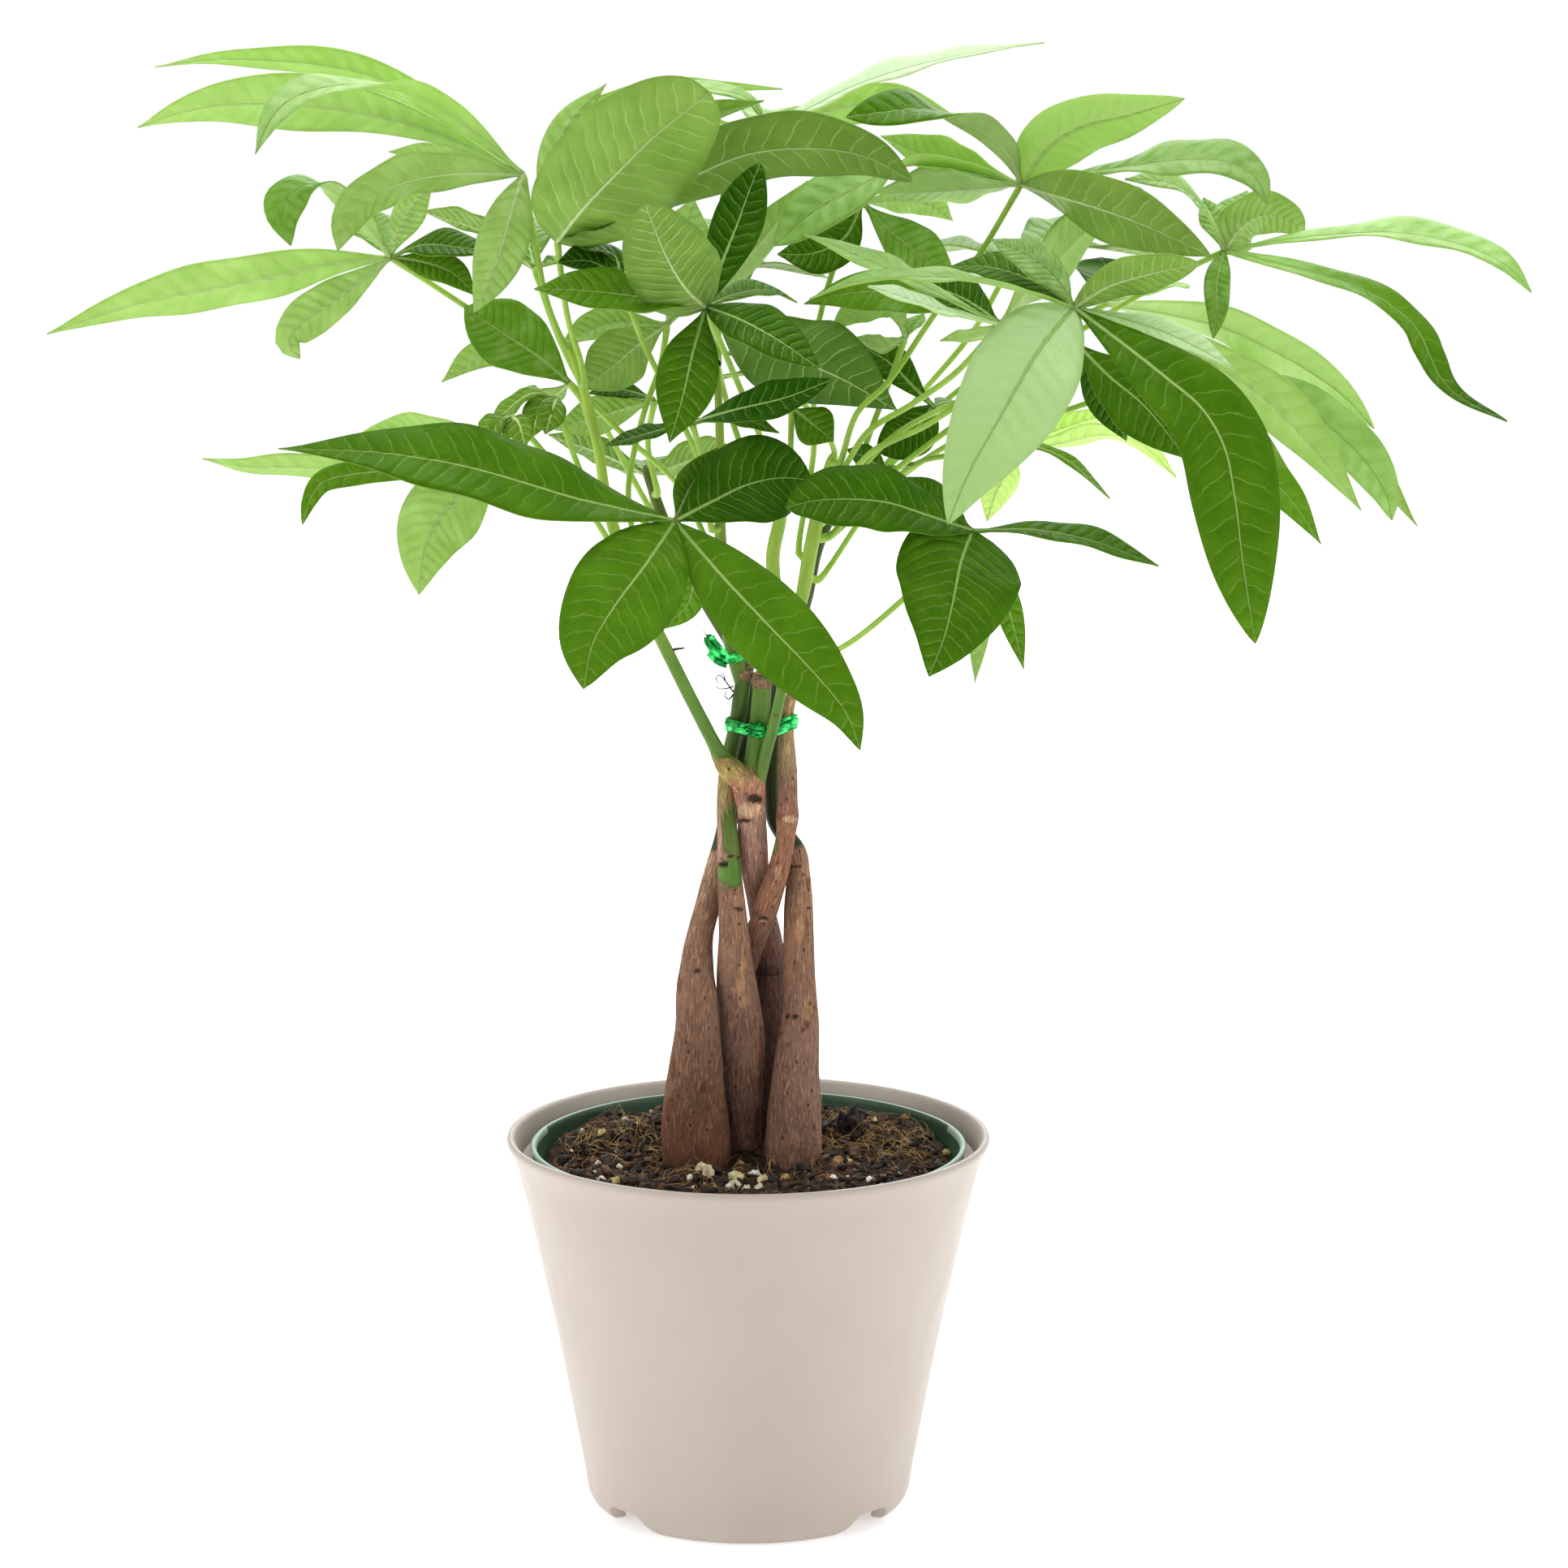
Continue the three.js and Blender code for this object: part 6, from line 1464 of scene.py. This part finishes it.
def limb(piece, trunk, index, route):
    """One limb of a trunk, from the soil or its parent limb to its tip or cut."""
    places = np.hstack([seen(route), np.array([[point[3] * MM] for point in route])])
    sides = LIMB_SIDES if max(point[3] for point in route) > TWIG_RADIUS else TWIG_SIDES
    length = smooth(places, 10)[2]
    steps = int(length / (RING_STEP * MM))
    at, along, _ = smooth(places, steps)
    centres, radii = at[:, :3], at[:, 3].copy()
    cut = (trunk, index) in CUT_LIMBS
    if not cut:
        radii[-len(TIP_SHARES) :] *= TIP_SHARES
    positions, across, other = tube(centres, along, radii, sides, np.array([1.0, 0.0, 0.0]))
    turns = np.tile(np.linspace(0, 2 * np.pi, sides, endpoint=False), steps + 1)
    ring = np.repeat(np.arange(steps + 1), sides)
    run = ring * length / steps / MM
    radius = radii[ring] / MM
    # grain is each vertex's place in its limb as if that were straight, for noise that follows the bark.
    grain = np.stack([radius * np.cos(turns), radius * np.sin(turns), run], axis=1)
    grain += GRAIN_SHIFT * (index + 1) + len(trunk) * 11.0
    out = across[ring] * np.cos(turns)[:, None] + other[ring] * np.sin(turns)[:, None]
    # The hue, with painted shade low on the trunks, and the share of green shoot, both with ragged borders.
    seen_z = look_at_plane(positions)[1]
    ragged = rough(grain * [1, 1, 0.5], 3.0)
    torn = ragged * 0.14 + rough(grain * [1, 1, 0.6], 0.9, 4) * 0.22
    shoot = smoothstep(seen_z + ragged * 1.6 - GREEN_FROM[trunk][index], -1, 1)
    hue = hue_at(seen_z + ragged * 1.5, BARK_HUES_AND_SHADE[trunk])
    # Shaded shoots lose their SHADED share of colour: painted shade.
    shaded_green = hue_at(seen_z, SHOOT_HUES) * (1 - SHADED.get((trunk, index), 0))
    hue += (shaded_green - hue) * shoot[:, None]
    relief = mark(trunk, index, positions, out[:, 1] < 0.2, torn, hue, shoot)
    # Lumps, marks and the slant of a cut move the surface.
    woody = np.clip(radius / 6, 0.15, 1) * (1 - shoot * 0.8)
    lumps = rough(grain * [1, 1, 0.45], 7.0, 2) * 0.45 + rough(grain * [1, 1, 0.25], 2.2, 3) * 0.16
    if cut:
        left = length / MM - run
        collar = 1 - smoothstep(left + ragged * 0.6, 1.5, 3.5)
        hue += (np.array(rgb(CUT_COLLAR)[:3]) - hue) * collar[:, None]
        shoot *= 1 - collar
        relief += 0.25 * collar
    positions = positions + out * ((lumps * woody + relief) * MM)[:, None]
    if cut:
        slant = np.clip(1 - left / 5, 0, 1) * CUT_SLANT
        positions += along[ring] * (out[:, 1] * radius * slant * MM)[:, None]
    values = {"grain": grain, "hue": hue, "smooth": shoot}
    piece.add(positions, grid_faces(steps + 1, sides, closed=True), 0, **values)
    # The end and the foot are closed with rings that keep the values of the last ring next to them.
    end = positions[-sides:]
    middle = end.mean(axis=0)
    rings = [end]
    for inward, rise in END_RINGS:
        lift = along[-1] * (rise if cut else 0.1) * MM
        rings.append(middle + (end - middle) * inward + lift)
    cap = repeated(values, slice(-sides, None), len(rings))
    piece.add(np.vstack(rings), grid_faces(len(rings), sides, closed=True), int(cut), **cap)
    start = positions[:sides]
    foot = repeated(values, slice(sides), 2)
    shrunk = start.mean(axis=0) + (start - start.mean(axis=0)) * 0.02
    piece.add(np.vstack([shrunk, start]), grid_faces(2, sides, closed=True), 0, **foot)


def trunks():
    """Each trunk with all its limbs, as one piece."""
    for name, limbs in TRUNKS.items():
        piece = Piece()
        for index, route in enumerate(limbs):
            limb(piece, name, index, route)
        piece.build(f"{name}_bark", [BARK, CUT_WOOD], "bark", [name])


# Ties.


def place_on(route, height):
    """The centre, radius and direction of a limb where it is seen at a height."""
    for low, high in zip(route[:-1], route[1:]):
        if low[1] <= height <= high[1]:
            part = (height - low[1]) / (high[1] - low[1])
            here = [a + (b - a) * part for a, b in zip(low, high)]
            ends = seen([low, high])
            return seen([here])[0], here[3] * MM, unit(ends[1] - ends[0])
    raise ValueError(f"no place at {height}")


def tie_outline():
    """The outline of the bundled stems from above, at the tie: the hull of circles round them."""
    dots = []
    for name, index in TIE_STEMS:
        centre, radius, _ = place_on(TRUNKS[name][index], TIE_SEEN_AT)
        for turn in np.linspace(0, 2 * np.pi, 48, endpoint=False):
            reach = radius + TIE_GAP * MM
            dots.append((centre[0] + reach * math.cos(turn), centre[1] + reach * math.sin(turn)))
    dots.sort()

    def half(ordered):
        chain = []
        for dot in ordered:
            while len(chain) > 1:
                (ax, ay), (bx, by) = chain[-2], chain[-1]
                if (bx - ax) * (dot[1] - by) - (by - ay) * (dot[0] - bx) > 0:
                    break
                chain.pop()
            chain.append(dot)
        return chain[:-1]

    return np.array(half(dots) + half(dots[::-1]))


def strip(piece, at, along, wide, half_width, half_thickness, ripple, rng):
    """A crinkled foil strip along a path, with its broad side along `wide`."""
    seed = rng.uniform(0, 50)
    flat = square_to(wide, along)
    thin = np.cross(along, flat)
    front, back = [], []
    for lane, share in enumerate(FOIL_LANES):
        wave = np.array([[noise.noise(Vector((seed, k * 0.45, lane * 1.7)))] for k in range(len(at))])
        line = at + flat * (half_width * share)
        front.append(line + thin * (half_thickness + ripple * wave))
        back.append(line + thin * (-half_thickness + ripple * wave))
    section = np.stack(front + back[::-1], axis=1)
    faces = grid_faces(len(at), section.shape[1], closed=True)
    piece.add(section.reshape(-1, 3), [face[::-1] for face in faces])


def tie_band(rng):
    """Three turns of foil round the stems, and its crumpled ends in front."""
    stems = tie_outline()
    loop = np.vstack([stems, stems[:1]])
    steps = np.concatenate([[0], np.cumsum(np.linalg.norm(np.diff(loop, axis=0), axis=1))])
    even = np.linspace(0, steps[-1], TIE_STEPS + 1)
    ring = np.stack([np.interp(even, steps, loop[:, k]) for k in range(2)], axis=1)
    centre = ring.mean(axis=0)
    in_front = np.clip(-(ring[:, 1] - centre[1]) / (6 * MM), 0, 1)
    sag = np.interp(ring[:, 0] / MM, *TIE_SAG) * in_front
    up = np.tile([0.0, 0.0, 1.0], (len(ring), 1))
    band = Piece()
    for offset, out, swing in TIE_TURNS:
        sway = 0.3 * np.sin(np.linspace(0, 2 * np.pi, TIE_STEPS + 1) * 2 + swing)
        level = TIE_LEVEL + offset + sway + sag + (ring[:, 0] - centre[0]) / MM * TIE_TILT
        pushed = ring + unit(ring - centre) * out * MM
        at = np.column_stack([pushed, level * MM])
        along = unit(np.roll(at[:-1], -1, axis=0) - np.roll(at[:-1], 1, axis=0))
        along = np.vstack([along, along[:1]])
        strip(band, at, along, up, FOIL_HALF_WIDTH * MM, FOIL_HALF_THICKNESS * MM, 0.08 * MM, rng)
    front = ring[np.argmin(ring[:, 1])]
    depth = front[1] / MM
    for k, (x0, x1, z0, z1) in enumerate(TIE_KNOT):
        middle = ((x0 + x1) / 2, (z0 + z1) / 2 + 0.5, depth - 1.2)
        points = seen([(x0, z0, depth - 0.6), middle, (x1, z1, depth - 0.6)])
        at, along, _ = smooth(points, 24)
        twist = np.linspace(0, 5, 25)[:, None] + k
        wide = np.array([0.0, 0.0, 1.0]) * np.cos(twist) + np.array([0.0, 1.0, 0.0]) * np.sin(twist)
        strip(band, at, along, wide, KNOT_HALF_WIDTH * MM, FOIL_HALF_THICKNESS * MM, 0.2 * MM, rng)
    band.build("tie_foil_band", [FOIL], "tie_foil", ["tie_band"])


def tie_end(rng):
    """Two turns of foil round the front trunk's shoot, and three tails."""
    end = Piece()
    centre, radius, direction = place_on(TRUNKS["trunk_front"][1], TIE_END_AT)
    side = square_to(np.array([1.0, 0.0, 0.0]), direction)
    other = np.cross(direction, side)
    turns = np.linspace(0, 2 * np.pi, 49)
    for shift in (-0.7, 0.6):
        reach = radius + TIE_END_GAP * MM
        at = centre + direction * shift * MM + np.outer(np.cos(turns), side) * reach
        at += np.outer(np.sin(turns), other) * reach
        along = unit(-np.outer(np.sin(turns), side) + np.outer(np.cos(turns), other))
        wide = np.tile(direction, (49, 1))
        strip(end, at, along, wide, KNOT_HALF_WIDTH * MM, FOIL_HALF_THICKNESS * MM, 0.15 * MM, rng)
    for k, (half_width, tail) in enumerate(TIE_TAILS):
        at, along, _ = smooth(seen(tail), 40)
        wide = np.tile(unit(np.array([0.5, -0.4 + 0.5 * k, 0.9])), (41, 1))
        strip(end, at, along, wide, half_width * MM, TAIL_HALF_THICKNESS * MM, 0.25 * MM, rng)
    end.build("tie_foil_end", [FOIL], "tie_foil", ["tie_end"])


def ties():
    """The two foil ties."""
    rng = random.Random(5)
    tie_band(rng)
    tie_end(rng)


def wisps():
    """The thorn, the dry curls and the wire on the shoots."""
    piece = Piece()
    for route, radius in WISPS:
        thread(piece, seen(route), 16, 5, radius, 0.45)
    piece.build("shoot_wisps", [speck_material("wisp", "#120d0b", "#33241c")], "bark")


# Leaves.


def outline(part, widest, taper):
    """How wide a leaflet is at a part of its length, as a share of its greatest width."""
    power = math.log(0.5) / math.log(widest)
    return np.clip(np.sin(np.pi * part**power), 0, 1) ** taper


def blade(piece, rng, hub, tone, top_tone, width, face, twist, route, widest=WIDEST, taper=TAPER):
    """A leaflet: two faces a little apart, folded along the midrib, arched, and waved towards the edges."""
    spine = np.vstack([hub, seen(route)])
    length = smooth(spine, 8)[2] / MM
    rows = int(np.clip(length / 2, 18, 56))
    half = 5 if width < 12 else 7
    at, along, _ = smooth(spine, rows)
    part = np.linspace(0, 1, rows + 1)
    # The face turns along the leaflet by its twist, and sways a little.
    turn = np.radians(face + twist * part + 3 * np.sin(part * 5 + rng.uniform(0, 6)))
    up = square_to(np.stack([np.zeros_like(turn), -np.sin(turn), np.cos(turn)], axis=1), along)
    side = np.cross(along, up)
    least = np.where(part < 0.5, ROOT_HALF_WIDTH * (1 - part), TIP_HALF_WIDTH)
    reach = np.maximum(outline(part, widest, taper) * width / 2, least)
    # Lanes of vertices run along the leaflet, closer together at the midrib.
    lanes = np.linspace(-1, 1, 2 * half + 1)
    lanes = np.sign(lanes) * np.abs(lanes) ** EDGE_CROWDING
    waves = rng.uniform(*EDGE_WAVES)
    starts = {-1: rng.uniform(0, 6), 0: 0, 1: rng.uniform(0, 6)}
    spacing = float(np.clip(length / SIDE_VEINS, *VEIN_SPACING))
    top, bottom, vein, place = [], [], [], []
    shade = np.linspace(*tone, rows + 1) if isinstance(tone, tuple) else np.full(rows + 1, tone)
    thick = np.interp(part, [0, 0.1, 1], [1.0, BLADE_THICKNESS, BLADE_THICKNESS * 0.7])
    for lane in lanes:
        edge = abs(lane)
        arch = BLADE_FOLD * (edge * 1.35 - 0.62 * edge**2 - 0.35)
        ripple = EDGE_RIPPLE * edge**2 * np.sin(2 * np.pi * waves * part + starts[int(np.sign(lane))])
        lift = reach * (arch + ripple * np.sin(np.pi * part))
        middle = at + side * (lane * reach * MM)[:, None] + up * (lift * MM)[:, None]
        rib = RIB_DEPTH * np.exp(-((edge * reach / RIB_HALF_WIDTH) ** 2)) * (1 - 0.7 * part)
        top.append(middle + up * (thick / 2 * MM)[:, None])
        bottom.append(middle - up * ((thick / 2 + rib) * MM)[:, None])
        share = np.full_like(part, edge)
        shift = 0.35 if lane > 0 else 0
        vein.append(np.stack([part * length / spacing + shift, edge * reach / spacing, share], axis=1))
        place.append(np.stack([part, shade, np.full_like(part, spacing)], axis=1))
    columns = len(lanes)
    top, bottom, vein, place = (np.stack(x, axis=1).reshape(-1, 3) for x in (top, bottom, vein, place))
    values = {"vein": np.vstack([vein, vein]), "place": np.vstack([place, place])}
    if top_tone is not None:
        values["place"][: len(place), 1] = top_tone
    count = len(top)
    # The two faces, and the rim that joins them.
    upper = grid_faces(rows + 1, columns)
    lower = [tuple(i + count for i in quad[::-1]) for quad in upper]
    loop = list(range(columns))
    loop += [r * columns + columns - 1 for r in range(1, rows + 1)]
    loop += [rows * columns + c for c in range(columns - 2, -1, -1)]
    loop += [r * columns for r in range(rows - 1, 0, -1)]
    rim = [(b, a, a + count, b + count) for a, b in zip(loop, loop[1:] + loop[:1])]
    slots = [1] * len(lower) + [0] * len(upper) + [1] * len(rim)
    piece.add(np.vstack([top, bottom]), lower + upper + rim, slots, **values)


def leaf(name, origin, stalk, leaflets):
    """A leaf: its stalk from the limb to the hub, and its leaflets."""
    rng = random.Random(name)
    trunk, index, height = origin
    centre, radius, direction = place_on(TRUNKS[trunk][index], height)
    stalk = seen(stalk)
    out = square_to(stalk[0] - centre, direction)
    start = centre + out * (radius + 0.4 * MM)
    points = np.vstack([start, start + out * 1.6 * MM, stalk])
    piece = Piece()
    at, along, length = smooth(points, STALK_STEPS)
    inside = centre + out * radius * 0.5
    at = np.vstack([inside, at])
    along = np.vstack([out, along])
    run = np.concatenate([[0], np.linspace(0, length, STALK_STEPS + 1)]) / MM
    left = length / MM - run
    radii = STALK_RADIUS * (1 + 0.55 * np.exp(-run / 3) + 0.45 * np.exp(-left / 2.5))
    radii[-1] *= 0.6
    rings = tube(at, along, radii * MM, STALK_SIDES, direction)[0]
    tip = stalk[-1] + along[-1] * 0.6 * MM
    rings = np.vstack([rings, np.tile(tip, (STALK_SIDES, 1))])
    piece.add(rings, grid_faces(STALK_STEPS + 3, STALK_SIDES, closed=True), 2)
    tones = TONES.get(name, [PLAIN_TONE] * len(leaflets))
    for index, (tone, leaflet) in enumerate(zip(tones, leaflets, strict=True)):
        blade(piece, rng, stalk[-1], tone, TURNED_TOPS.get((name, index)), *leaflet)
    young = name in YOUNG_LEAVES
    faces = [YOUNG_TOP, YOUNG_UNDER] if young else [LEAF_TOP, LEAF_UNDER]
    piece.build(f"{name}_blades", [*faces, STALK], "young_leaf" if young else "leaf", [name])


# Stage, lights and camera.


def stage():
    """A white floor, an even white sky and four lamps."""
    bpy.ops.mesh.primitive_plane_add(size=30, location=(0, 0, 0))
    floor = bpy.context.object
    floor.name = "floor"
    m = Nodes("floor")
    glow = {"Emission_Color": (1, 1, 1, 1), "Emission_Strength": FLOOR_GLOW}
    floor.data.materials.append(m.set(Base_Color=(0.9, 0.9, 0.9, 1), Roughness=0.9, **glow))
    world = bpy.data.worlds.new("studio")
    bpy.context.scene.world = world
    world.use_nodes = True
    background = world.node_tree.nodes["Background"]
    background.inputs[0].default_value = (1, 1, 1, 1)
    background.inputs[1].default_value = SKY_LIGHT
    for name, place, target, size, power in LAMPS:
        lamp = bpy.data.lights.new(name, "AREA")
        lamp.size = size
        lamp.energy = power
        obj = bpy.data.objects.new(name, lamp)
        obj.location = place
        obj.rotation_euler = (Vector(target) - Vector(place)).to_track_quat("-Z", "Y").to_euler()
        bpy.context.scene.collection.objects.link(obj)
    bpy.context.scene.view_settings.view_transform = "Standard"


def camera():
    """The camera, which looks from EYE as the photograph does."""
    data = bpy.data.cameras.new("camera")
    data.sensor_width = SENSOR
    data.lens = CAMERA_LENS
    data.clip_end = 20
    obj = bpy.data.objects.new("camera", data)
    obj.location = EYE * MM
    obj.rotation_euler = (math.radians(CAMERA_TILT), 0, 0)
    bpy.context.scene.collection.objects.link(obj)
    bpy.context.scene.camera = obj


cover_pot()
nursery_pot()
soil()
soil_grains()
soil_fibres()
trunks()
ties()
wisps()
for leaf_name, (origin, stalk, *leaflets) in LEAVES.items():
    leaf(leaf_name, origin, stalk, leaflets)
stage()
camera()
